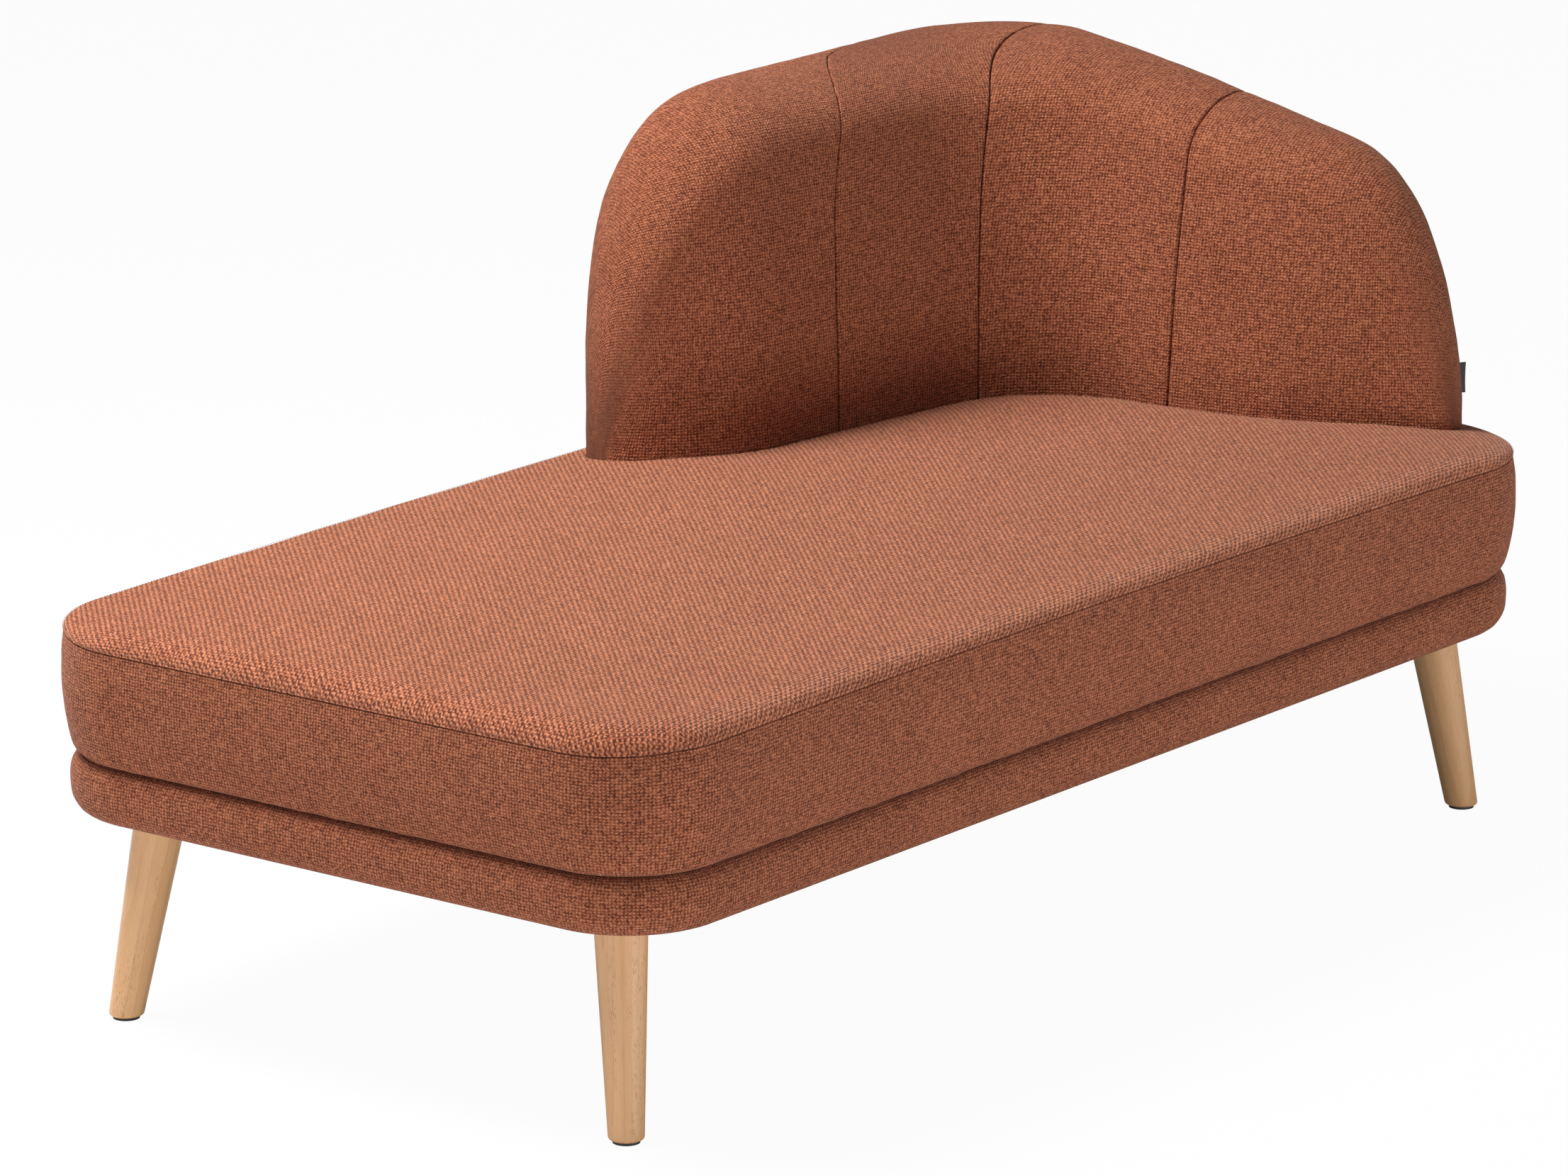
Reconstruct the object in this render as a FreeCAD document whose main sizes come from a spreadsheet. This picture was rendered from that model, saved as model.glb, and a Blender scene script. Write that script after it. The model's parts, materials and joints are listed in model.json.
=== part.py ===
import FreeCAD, Part
import math
import os

V = FreeCAD.Vector
doc = FreeCAD.newDocument("ChaiseLongue")

# Driving dimensions, in millimetres, counts and degrees
SIZES = [
    ("seat_length", 1506, "outline at the groove, foot end to head end"),
    ("seat_width", 760, "outline at the groove, open side to rear"),
    ("corner_radius", 94, "plan corners of the seat"),
    ("leg_height", 214, "floor to the underside of the base"),
    ("groove_height", 266, "floor to the groove between band and cushion"),
    ("seam_height", 388, "floor to the stitched seam round the cushion"),
    ("shoulder_height", 411, "floor to the top of the rolled edge"),
    ("shoulder_reach", 40, "rolled edge, from the seam inward"),
    ("crown_height", 418, "floor to the middle of the seat"),
    ("side_bulge", 11, "how far the cushion side swells past the groove"),
    ("groove_depth", 9, "how far the groove is drawn in"),
    ("band_bulge", 4, "how far the base band swells past the groove"),
    ("band_thickness", 19.7, "padded band outside the rails"),
    ("band_lip", 2.7, "band turned under the rails"),
    ("band_lip_reach", 14, "how far the lip reaches under the rails"),
    ("soft_clearance", 0.3, "soft pieces stay this far from their neighbours"),
    ("ridge_clearance", 1.6, "between panels and outer cover along the ridge"),
    ("footprint_clearance", 2.2, "between the seat top and the back that stands in it"),
    ("fit_clearance", 0.4, "holes and notches over what they take"),
    ("rail_thickness", 28, "wooden rails of the base"),
    ("rail_height", 45, "wooden rails of the base"),
    ("bearer_width", 28, "cross bearers"),
    ("bearer_height", 25, "cross bearers"),
    ("bearer_pitch", 330, "cross bearers"),
    ("block_reach", 60, "corner blocks inward of the corner's centre"),
    ("strap_width", 60, "elastic webbing"),
    ("strap_thickness", 1.6, "elastic webbing"),
    ("strap_pitch", 180, "elastic webbing"),
    ("strap_bearing", 24, "webbing folded on a rail"),
    ("felt_thickness", 2, "felt over the webbing"),
    ("felt_inset", 24, "felt edge inside the groove outline"),
    ("core_inset", 52, "foam core inside the groove outline"),
    ("core_thickness", 74, "foam core"),
    ("dust_thickness", 1, "cloth under the base"),
    ("dust_inset", 34.5, "dust cloth edge inside the groove outline"),
    ("leg_top_diameter", 52, "wooden legs"),
    ("leg_foot_diameter", 34, "wooden legs"),
    ("leg_top_inset_x", 86, "leg axis at its top inside the end of the seat"),
    ("leg_top_inset_y", 99, "leg axis at its top inside the side of the seat"),
    ("leg_splay", 28, "foot further out than the top, each way"),
    ("glide_thickness", 3, "plastic glides"),
    ("glide_diameter", 26, "plastic glides"),
    ("glide_pin_diameter", 4, "plastic glides"),
    ("glide_pin_length", 14, "plastic glides"),
    ("plate_side", 76, "steel leg plates"),
    ("plate_thickness", 3, "steel leg plates"),
    ("plate_hole_pitch", 60, "steel leg plates"),
    ("screw_diameter", 4, "plate screws"),
    ("screw_length", 18, "plate screws"),
    ("screw_head_diameter", 8, "plate screws"),
    ("screw_head_height", 2, "plate screws"),
    ("hanger_diameter", 8, "hanger bolts"),
    ("hanger_in_leg", 32, "hanger bolts"),
    ("hanger_in_block", 30, "hanger bolts"),
    ("back_base", 398, "floor to the underside of the back"),
    ("back_height", 765, "floor to the top of the back"),
    ("back_inset", 8, "outer face of the back inside the groove outline"),
    ("back_thickness_rear", 172, "rear part of the back at the seat"),
    ("back_thickness_corner", 194, "back where the corner starts"),
    ("back_thickness_head", 169, "head part of the back at the seat"),
    ("inner_corner_radius", 150, "inside corner of the back at the seat"),
    ("top_corner_radius", 150, "outside corner of the back below its top roll"),
    ("ridge_corner_radius", 120, "corner of the back's ridge in plan"),
    ("outer_roll_width", 43, "ridge inside the outer face"),
    ("outer_roll_height", 50, "outer roll"),
    ("inner_roll_height", 68, "inner roll"),
    ("face_lean", 0.137, "inner face, run over rise"),
    ("face_swell", 5, "inner face, swell over its chord"),
    ("rear_wing_tip", 46, "tip of the rear wing along the seat"),
    ("rear_wing_taper", 170, "length of its taper"),
    ("rear_wing_rise", 250, "length over which its top rises"),
    ("head_wing_tip", -303, "tip of the head wing across the seat"),
    ("head_wing_taper", 330, "length of its taper"),
    ("head_wing_rise", 150, "length over which its top rises"),
    ("head_top_fall", 68, "fall of the head wing's top line"),
    ("head_top_start", 205, "where that fall starts, across the seat"),
    ("head_top_run", 329, "length of that fall, across the seat"),
    ("head_top_power", 1.15, "how late the fall steepens"),
    ("tip_round", 40, "outer corner of a wing tip in plan"),
    ("tip_share", 0.6, "how far the tip's outer corner is drawn in, of its length"),
    ("pad_inner", 45, "padding on the inner face"),
    ("pad_top", 28, "padding on the ridge"),
    ("cover_outer", 12, "wadding and cover on the outer face"),
    ("end_pad_rear", 70, "length of the rear wing's end pad"),
    ("end_pad_head", 75, "length of the head wing's end pad"),
    ("section_step", 45, "sections of the back along its straight parts"),
    ("seam_a", 300, "first seam, along the spine of the back"),
    ("seam_b", 510, "second seam"),
    ("seam_c", 700, "third seam"),
    ("board_thickness", 18, "plywood of the back frame"),
    ("rib_gap", 3, "padding stretched over the ribs"),
    ("plate_strip", 82, "plywood plate under the back frame"),
    ("plate_setback", 12, "plate and rails short of the rear end pad"),
    ("plate_head_end", -100, "head end of the plate and rail across the seat"),
    ("rib_pitch", 115, "ribs of the head wing"),
    ("post_side", 30, "posts under the ends of the upper rails"),
    ("back_rail_height", 50, "upper rails of the back"),
    ("back_rail_thickness", 20, "upper rails of the back"),
    ("back_rail_top", 610, "floor to the top of the upper rails"),
    ("mount_board_thickness", 20, "boards in the base that carry the back"),
    ("mount_board_start", 130, "foot end of the rear board along the seat"),
    ("mount_board_width", 77, "boards in the base that carry the back"),
    ("back_bolt_diameter", 8, "bolts that hold the back"),
    ("back_bolt_line", 75, "bolt axis inside the groove outline"),
    ("rear_bolt_1", 250, "bolt along the seat, between straps"),
    ("rear_bolt_2", 470, "bolt along the seat, between straps"),
    ("head_bolt_1", 165, "bolt across the seat"),
    ("head_bolt_2", 60, "bolt across the seat"),
    ("head_bolt_3", -45, "bolt across the seat"),
    ("bolt_head_diameter", 16, "bolts that hold the back"),
    ("bolt_head_height", 5, "bolts that hold the back"),
    ("spacer_diameter", 14, "tubes round the bolts"),
    ("nut_diameter", 20, "nuts on the bolts"),
    ("nut_height", 8, "nuts on the bolts"),
    ("tag_height", 32, "blank woven tag"),
    ("tag_reach", 12, "blank woven tag"),
    ("tag_thickness", 1.2, "blank woven tag"),
    ("tag_base", 430, "floor to the tag's lower edge"),
    ("tag_place", -266, "tag across the seat"),
]

sheet = doc.addObject("Spreadsheet::Sheet", "Sizes")
for row, (alias, value, use) in enumerate(SIZES, start=1):
    sheet.set("A%d" % row, alias)
    sheet.set("B%d" % row, str(value))
    sheet.set("C%d" % row, use)
    sheet.setAlias("B%d" % row, alias)
doc.recompute()


def size(alias):
    return float(sheet.get(alias))


parts = {}


def keep(obj, node):
    obj.Label = node
    parts[node] = obj
    return obj


def bind(obj, **expressions):
    for name, text in expressions.items():
        path = {"X": "Placement.Base.x", "Y": "Placement.Base.y", "Z": "Placement.Base.z"}.get(name, name)
        obj.setExpression(path, "".join(c if c != "~" else "Sizes." for c in text))
    return obj


def box(label, length, width, height, x, y, z):
    obj = doc.addObject("Part::Box", label)
    return bind(obj, Length=length, Width=width, Height=height, X=x, Y=y, Z=z)


def cylinder(label, radius, height, x, y, z):
    obj = doc.addObject("Part::Cylinder", label)
    return bind(obj, Radius=radius, Height=height, X=x, Y=y, Z=z)


def fuse(label, pieces):
    obj = doc.addObject("Part::MultiFuse", label)
    obj.Shapes = pieces
    return obj


def cut(label, base, tool):
    obj = doc.addObject("Part::Cut", label)
    obj.Base = base
    obj.Tool = tool
    return obj


def solid_feature(node, shape):
    obj = doc.addObject("Part::Feature", node)
    obj.Shape = shape
    return keep(obj, node)


def side(sign, near, far):
    """Start of a span that lies between two distances from the middle, on one side of it."""
    return "(%s)" % near if sign > 0 else "-(%s)" % far


# Levels and lines that several pieces share, as expressions on the sheet
RAIL_OUT_X = "~seat_length/2 - ~band_thickness - ~soft_clearance"
RAIL_OUT_Y = "~seat_width/2 - ~band_thickness - ~soft_clearance"
RAIL_IN_X = RAIL_OUT_X + " - ~rail_thickness"
RAIL_IN_Y = RAIL_OUT_Y + " - ~rail_thickness"
CENTRE_X = "~seat_length/2 - ~corner_radius"
CENTRE_Y = "~seat_width/2 - ~corner_radius"
RAIL_BOTTOM = "~leg_height + ~band_lip + ~soft_clearance"
RAIL_TOP = RAIL_BOTTOM + " + ~rail_height"
LEG_X = "~seat_length/2 - ~leg_top_inset_x"
LEG_Y = "~seat_width/2 - ~leg_top_inset_y"
CORNERS = [("front_foot", -1, -1), ("front_head", 1, -1), ("rear_foot", -1, 1), ("rear_head", 1, 1)]

# Base rails
for node, sign in (("base_rail_front", -1), ("base_rail_rear", 1)):
    keep(box(node, "2*(%s)" % CENTRE_X, "~rail_thickness", "~rail_height",
             "-(%s)" % CENTRE_X, side(sign, RAIL_IN_Y, RAIL_OUT_Y), RAIL_BOTTOM), node)
for node, sign in (("base_rail_foot", -1), ("base_rail_head", 1)):
    keep(box(node, "~rail_thickness", "2*(%s)" % CENTRE_Y, "~rail_height",
             side(sign, RAIL_IN_X, RAIL_OUT_X), "-(%s)" % CENTRE_Y, RAIL_BOTTOM), node)

# Cross bearers under the webbing
for number, step in enumerate((-1, 0, 1), start=1):
    node = "base_bearer_%d" % number
    keep(box(node, "~bearer_width", "2*(%s)" % RAIL_IN_Y, "~bearer_height",
             "%d*~bearer_pitch - ~bearer_width/2" % step, "-(%s)" % RAIL_IN_Y, RAIL_BOTTOM), node)

# Corner blocks, round outside, that tie the rails and take the hanger bolts
TURNS = {(1, 1): 0, (-1, 1): 90, (-1, -1): 180, (1, -1): 270}
for corner, sx, sy in CORNERS:
    node = "corner_block_" + corner
    round_part = cylinder(node + "_round", "~corner_radius - ~band_thickness - ~soft_clearance",
                          "~rail_height", "%d*(%s)" % (sx, CENTRE_X), "%d*(%s)" % (sy, CENTRE_Y), RAIL_BOTTOM)
    round_part.Angle = 90
    round_part.Placement.Rotation = FreeCAD.Rotation(V(0, 0, 1), TURNS[(sx, sy)])
    inner_x = CENTRE_X + " - ~block_reach"
    inner_y = CENTRE_Y + " - ~block_reach"
    long_part = box(node + "_long", "~block_reach", "(%s) - (%s)" % (RAIL_IN_Y, inner_y), "~rail_height",
                    side(sx, inner_x, CENTRE_X), side(sy, inner_y, RAIL_IN_Y), RAIL_BOTTOM)
    short_part = box(node + "_short", "(%s) - (%s)" % (RAIL_IN_X, CENTRE_X), "~block_reach", "~rail_height",
                     side(sx, CENTRE_X, RAIL_IN_X), side(sy, inner_y, CENTRE_Y), RAIL_BOTTOM)
    bore = cylinder(node + "_bore", "(~hanger_diameter + ~fit_clearance)/2", "~hanger_in_block + ~fit_clearance",
                    "%d*(%s)" % (sx, LEG_X), "%d*(%s)" % (sy, LEG_Y), RAIL_BOTTOM)
    screw_bores = []
    for ix in (-1, 1):
        for iy in (-1, 1):
            name = "%s_screw_bore_%d" % (node, len(screw_bores))
            screw_bores.append(cylinder(name, "~screw_diameter/2 + ~fit_clearance/4",
                                        "~screw_length - ~plate_thickness + ~fit_clearance",
                                        "%d*(%s) + %d*~plate_hole_pitch/2" % (sx, LEG_X, ix),
                                        "%d*(%s) + %d*~plate_hole_pitch/2" % (sy, LEG_Y, iy), RAIL_BOTTOM))
    keep(cut(node, fuse(node + "_body", [round_part, long_part, short_part]),
             fuse(node + "_bores", [bore] + screw_bores)), node)

# Webbing across the rails
STRAP_STEPS = range(-3, 4)
for number, step in enumerate(STRAP_STEPS, start=1):
    node = "webbing_strap_%d" % number
    keep(box(node, "~strap_width", "2*((%s) + ~strap_bearing)" % RAIL_IN_Y, "~strap_thickness",
             "%d*~strap_pitch - ~strap_width/2" % step, "-((%s) + ~strap_bearing)" % RAIL_IN_Y, RAIL_TOP), node)

# Boards in the base that carry the back
keep(box("mount_board_rear", "(%s) - ~block_reach - ~mount_board_start" % CENTRE_X, "~mount_board_width",
         "~mount_board_thickness", "~mount_board_start", "(%s) - ~mount_board_width" % RAIL_IN_Y,
         "(%s) - ~mount_board_thickness" % RAIL_TOP), "mount_board_rear")
keep(box("mount_board_head", "~mount_board_width", "2*((%s) - ~block_reach)" % CENTRE_Y,
         "~mount_board_thickness", "(%s) - ~mount_board_width" % RAIL_IN_X,
         "-((%s) - ~block_reach)" % CENTRE_Y, "(%s) - ~mount_board_thickness" % RAIL_TOP), "mount_board_head")

# Plan outlines
half_x = size("seat_length") / 2
half_y = size("seat_width") / 2


def rounded_wire(x, y, radius, z):
    """Rounded rectangle about the origin, as four lines and four quarter arcs."""
    edges = []
    k = radius * (1 - math.sqrt(0.5))
    corners = [(x, y, 1, 1), (-x, y, -1, 1), (-x, -y, -1, -1), (x, -y, 1, -1)]
    for index, (cx, cy, sx, sy) in enumerate(corners):
        along_y = V(cx, cy - sy * radius, z)
        along_x = V(cx - sx * radius, cy, z)
        start, end = (along_y, along_x) if sx * sy > 0 else (along_x, along_y)
        edges.append(Part.Arc(start, V(cx - sx * k, cy - sy * k, z), end).toShape())
        nx, ny, tx, ty = corners[(index + 1) % 4]
        following = V(nx - tx * radius, ny, z) if tx * ty < 0 else V(nx, ny - ty * radius, z)
        edges.append(Part.LineSegment(end, following).toShape())
    return Part.Wire(edges)


def outline(offset, z, least_radius=0.0):
    radius = max(size("corner_radius") + offset, least_radius)
    return rounded_wire(half_x + offset, half_y + offset, radius, z)


def prism(offset, low, high):
    return Part.Face(outline(offset, low)).extrude(V(0, 0, high - low))


def upright(x, y, radius, low, high):
    return Part.makeCylinder(radius, high - low, V(x, y, low))


soft = size("soft_clearance")
fit = size("fit_clearance")
groove = size("groove_height")
leg_height = size("leg_height")
rail_top = leg_height + size("band_lip") + soft + size("rail_height")
rail_bottom = rail_top - size("rail_height")

# Padded band round the base: rounded below, drawn in at the groove, turned under the rails
bulge = size("band_bulge")
depth = size("groove_depth")
band_height = groove - leg_height
band_levels = [(0.0, -3 * bulge), (0.07, -bulge), (0.25, 0.7 * bulge), (0.55, bulge),
               (0.80, 0.5 * bulge), (0.94, -0.4 * depth), (1.0, -depth)]
band = Part.makeLoft([outline(offset, leg_height + part * band_height) for part, offset in band_levels], True)
band = band.cut(prism(-size("band_thickness"), leg_height + size("band_lip"), groove + bulge))
lip_opening = size("band_thickness") + size("band_lip_reach")
band = band.cut(prism(-lip_opening, leg_height - bulge, groove + bulge))
solid_feature("base_band", band)

# Bolts of the back: two through the rear board and three through the head board
bolt_line = size("back_bolt_line")
rear_bolts = [(size(alias), half_y - bolt_line) for alias in ("rear_bolt_1", "rear_bolt_2")]
head_bolts = [(half_x - bolt_line, size(alias)) for alias in ("head_bolt_1", "head_bolt_2", "head_bolt_3")]
bolt_points = rear_bolts + head_bolts


def bored(shape, diameter, low, high):
    for x, y in bolt_points:
        shape = shape.cut(upright(x, y, diameter / 2, low, high))
    return shape


for node in ("mount_board_rear", "mount_board_head"):
    board = parts.pop(node)
    board.Label = node + "_blank"
    bores = []
    for x, y in (rear_bolts if node.endswith("rear") else head_bolts):
        bores.append(cylinder(node + "_bore_%d" % len(bores), "(~back_bolt_diameter + ~fit_clearance)/2",
                              "~mount_board_thickness", str(x), str(y),
                              "(%s) - ~mount_board_thickness" % RAIL_TOP))
    keep(cut(node, board, fuse(node + "_bores", bores)), node)

spacer_hole = size("spacer_diameter") + 2 * fit
felt_low = rail_top + size("strap_thickness") + soft
felt_high = felt_low + size("felt_thickness")
solid_feature("deck_felt", bored(prism(-size("felt_inset"), felt_low, felt_high), spacer_hole, felt_low, felt_high))

# Seat cushion: drawn in at the groove, swelling sides, stitched shoulder, crowned top
cushion_low = groove + soft
core_high = cushion_low + soft + size("core_thickness")
swell = size("side_bulge")
side_height = size("seam_height") - cushion_low
shoulder = size("shoulder_height")
crown = size("crown_height")
boxing_levels = [
    (cushion_low, -depth), (cushion_low + 0.08 * side_height, 0.1 * swell),
    (cushion_low + 0.35 * side_height, 0.8 * swell), (cushion_low + 0.7 * side_height, swell),
    (size("seam_height") - soft, 0.85 * swell)]
boxing = Part.makeLoft([outline(offset, z) for z, offset in boxing_levels], True)
core_inset = size("core_inset")
boxing = boxing.cut(prism(-(core_inset - soft), cushion_low - 1, core_high + soft))
boxing = bored(boxing, spacer_hole, core_high - soft, size("seam_height"))
solid_feature("seat_boxing", boxing)
core = bored(prism(-core_inset, cushion_low + soft, core_high), spacer_hole, cushion_low, core_high)
solid_feature("seat_foam_core", core)

# Spine of the back: rear part along X, the corner as a fan, then the head part along Y
back_x = half_x - size("back_inset")
back_y = half_y - size("back_inset")
fan_x = back_x - size("back_thickness_head") - size("inner_corner_radius")
fan_y = back_y - size("back_thickness_corner") - size("inner_corner_radius")
fan_length = size("inner_corner_radius") * math.pi / 2
spine_end = fan_x + fan_length + fan_y - size("head_wing_tip")
back_base = size("back_base")


def hit(x, y, ex, ey, inset, radius):
    """Distance from a point along a direction to the rounded outline, first quadrant."""
    far_x = half_x - inset
    far_y = half_y - inset
    reach = []
    if ey > 1e-9:
        run = (far_y - y) / ey
        if x + run * ex <= far_x - radius + 1e-6:
            reach.append(run)
    if ex > 1e-9:
        run = (far_x - x) / ex
        if y + run * ey <= far_y - radius + 1e-6:
            reach.append(run)
    if reach:
        return min(reach)
    px = x - (far_x - radius)
    py = y - (far_y - radius)
    b = px * ex + py * ey
    return -b + math.sqrt(b * b - px * px - py * py + radius * radius)


def tapered(part, power, root):
    part = min(max(part, 0.0), 1.0)
    return (1 - (1 - part) ** power) ** (1 / root)


def head_top(y):
    """Top line of the head wing before its end is rounded off."""
    run = max(0.0, size("head_top_start") - y) / size("head_top_run")
    return size("back_height") - size("head_top_fall") * run ** size("head_top_power")


class Station:
    """One upright cross-section of the back, at a distance along its spine."""

    def __init__(self, along):
        self.along = along
        inset = size("back_inset")
        low_radius = size("corner_radius") - inset
        roll = size("outer_roll_width")
        height = size("back_height") - back_base
        if along < fan_x:
            self.e = (0.0, 1.0)
            part = (along - size("rear_wing_tip")) / size("rear_wing_taper")
            grow = max(0.0, (along - size("rear_wing_tip") - size("rear_wing_taper"))
                       / (fan_x - size("rear_wing_tip") - size("rear_wing_taper")))
            width = size("back_thickness_rear") * tapered(part, 2, 2)
            width += (size("back_thickness_corner") - size("back_thickness_rear")) * grow
            rise = tapered((along - size("rear_wing_tip")) / size("rear_wing_rise"), 3.5, 2)
            self.foot = (along, back_y - width)
            self.top = back_base + height * rise
            tip = max(0.0, size("rear_wing_tip") + size("tip_round") - along) / size("tip_round")
        elif along <= fan_x + fan_length:
            angle = math.pi / 2 * (1 - (along - fan_x) / fan_length)
            self.e = (math.cos(angle), math.sin(angle))
            self.foot = (fan_x + size("inner_corner_radius") * self.e[0],
                         fan_y + size("inner_corner_radius") * self.e[1])
            ridge = hit(self.foot[0], self.foot[1], self.e[0], self.e[1], inset + roll, size("ridge_corner_radius"))
            self.top = head_top(self.foot[1] + ridge * self.e[1])
            tip = 0.0
        else:
            self.e = (1.0, 0.0)
            y = fan_y - (along - fan_x - fan_length)
            part = (y - size("head_wing_tip")) / size("head_wing_taper")
            width = size("back_thickness_head") * math.sqrt(tapered(part, 1.6, 1))
            rise = tapered((y - size("head_wing_tip")) / size("head_wing_rise"), 2.6, 1.4)
            self.foot = (back_x - width, y)
            self.top = back_base + (head_top(y) - back_base) * rise
            tip = max(0.0, size("head_wing_tip") + size("tip_round") - y) / size("tip_round")
        trim = size("tip_round") * (1 - math.sqrt(1 - min(tip, 1.0) ** 2)) * size("tip_share")
        x, y = self.foot
        self.low = hit(x, y, self.e[0], self.e[1], inset, low_radius) - trim
        self.high = hit(x, y, self.e[0], self.e[1], inset, size("top_corner_radius")) - trim
        self.ridge = hit(x, y, self.e[0], self.e[1], inset + roll, size("ridge_corner_radius")) - trim
        self.ridge = max(self.ridge, 0.6 * self.low)

    def at(self, run, z):
        return V(self.foot[0] + run * self.e[0], self.foot[1] + run * self.e[1], z)

    def skin(self, inner=0.0, top=0.0, outer=0.0, base=back_base):
        """Corner points of the section, drawn in by the padding on each side."""
        rise = self.top - back_base
        outer_roll = min(size("outer_roll_height"), 0.5 * rise)
        inner_roll = min(size("inner_roll_height"), 0.55 * rise)
        lean = min(size("face_lean") * (rise - inner_roll), 0.25 * self.ridge)
        swell_in = min(size("face_swell"), 0.03 * self.ridge)
        crest = (self.ridge, self.top - top)
        start = (lean + inner, self.top - inner_roll - 0.5 * top)
        stop = (self.high - outer, self.top - outer_roll - 0.5 * top)
        share = (base - back_base) / rise
        foot_in = (inner + lean * share, base)
        foot_out = (self.low - outer, base)
        mid_in = (0.5 * (foot_in[0] + start[0]) - swell_in, 0.5 * (base + start[1]))
        q = math.sqrt(0.5)
        bend_in = (crest[0] - q * (crest[0] - start[0]), start[1] + q * (crest[1] - start[1]))
        bend_out = (crest[0] + q * (stop[0] - crest[0]), stop[1] + q * (crest[1] - stop[1]))
        return foot_in, mid_in, start, bend_in, crest, bend_out, stop, foot_out

    def inner_edges(self, points, back=False):
        foot_in, mid_in, start, bend_in, crest = [self.at(*point) for point in points[:5]]
        if back:
            return [Part.Arc(crest, bend_in, start).toShape(), Part.Arc(start, mid_in, foot_in).toShape()]
        return [Part.Arc(foot_in, mid_in, start).toShape(), Part.Arc(start, bend_in, crest).toShape()]

    def outer_edges(self, points, back=False):
        crest, bend_out, stop, foot_out = [self.at(*point) for point in points[4:]]
        if back:
            return [Part.LineSegment(foot_out, stop).toShape(), Part.Arc(stop, bend_out, crest).toShape()]
        return [Part.Arc(crest, bend_out, stop).toShape(), Part.LineSegment(stop, foot_out).toShape()]

    def full(self):
        points = self.skin()
        close = Part.LineSegment(self.at(*points[7]), self.at(*points[0])).toShape()
        return Part.Wire(self.inner_edges(points) + self.outer_edges(points) + [close])

    def pad(self):
        """Padding and cover on the inner face and over to the ridge."""
        skin = self.skin()
        inside = self.skin(size("pad_inner"), size("pad_top"), size("cover_outer"))
        crest = Part.LineSegment(self.at(*skin[4]), self.at(*inside[4])).toShape()
        foot = Part.LineSegment(self.at(*inside[0]), self.at(*skin[0])).toShape()
        return Part.Wire(self.inner_edges(skin) + [crest] + self.inner_edges(inside, True) + [foot])

    def cover(self):
        """Wadding and cover on the outer face, up to the ridge."""
        skin = self.skin()
        inside = self.skin(size("pad_inner"), size("pad_top"), size("cover_outer"))
        shift = size("ridge_clearance")
        crest = [(run + shift, z) for run, z in (skin[4], inside[4])]
        skin = skin[:4] + (crest[0],) + skin[5:]
        inside = inside[:4] + (crest[1],) + inside[5:]
        foot = Part.LineSegment(self.at(*skin[7]), self.at(*inside[7])).toShape()
        rise = Part.LineSegment(self.at(*inside[4]), self.at(*skin[4])).toShape()
        return Part.Wire(self.outer_edges(skin) + [foot] + self.outer_edges(inside, True) + [rise])

    def rib(self):
        gap = size("rib_gap")
        base = back_base + size("board_thickness")
        points = self.skin(size("pad_inner") + gap, size("pad_top") + gap, size("cover_outer") + gap, base)
        close = Part.LineSegment(self.at(*points[7]), self.at(*points[0])).toShape()
        face = Part.Face(Part.Wire(self.inner_edges(points) + self.outer_edges(points) + [close]))
        across = V(self.e[1], -self.e[0], 0) * size("board_thickness")
        return face.extrude(across if self.along < fan_x else across * -1)


def places_between(start, end):
    """Distances along the spine, close together round the corner."""
    straight = size("section_step")
    turning = fan_length / 12
    places = [fan_x - straight * step for step in range(10)]
    places += [fan_x + turning * step for step in range(1, 13)]
    places += [fan_x + fan_length + straight * step for step in range(1, 10)]
    least = straight / 4
    return [start] + [place for place in sorted(places) if start + least < place < end - least] + [end]


def run_of(kind, start, end):
    """Loft one kind of section between two distances along the spine."""
    return Part.makeLoft([getattr(Station(place), kind)() for place in places_between(start, end)], True)


rear_split = size("rear_wing_tip") + size("end_pad_rear")
head_split = spine_end - size("end_pad_head")
seams = [size("seam_a"), size("seam_b"), size("seam_c")]
stops = [rear_split] + seams + [head_split]
for number in range(4):
    solid_feature("back_panel_%d" % (number + 1),
                  run_of("pad", stops[number] + soft / 2, stops[number + 1] - soft / 2))
solid_feature("back_outer_cover", run_of("cover", rear_split + soft / 2, head_split - soft / 2))


def wing_end(tip, split):
    """Solid end pad of a wing, its sections set closer towards the tip."""
    shares = (0.03, 0.1, 0.25, 0.5, 0.75, 1.0)
    return Part.makeLoft([Station(tip + (split - tip) * share).full() for share in shares], True)


solid_feature("back_end_pad_rear", wing_end(size("rear_wing_tip"), rear_split - soft / 2))
solid_feature("back_end_pad_head", wing_end(spine_end, head_split + soft / 2))

# Crowned top panel: a rounded shoulder above the stitched seam, then a shallow crown, flat under the back
seam = size("seam_height")
reach = size("shoulder_reach")
crown_levels = []
for step in range(5):
    turn = math.pi / 8 * step
    crown_levels.append((seam + (shoulder - seam) * math.sin(turn), 0.85 * swell - reach * (1 - math.cos(turn))))
inner_ring = crown_levels[-1][1]
for share in (0.25, 0.6, 1.0):
    crown_levels.append((shoulder + (crown - shoulder) * (1 - (1 - share) ** 2),
                         inner_ring * (1 - share) - 0.38 * size("seat_width") * share))
top = Part.makeLoft([outline(offset, z, 60) for z, offset in crown_levels], True, True)


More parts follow.
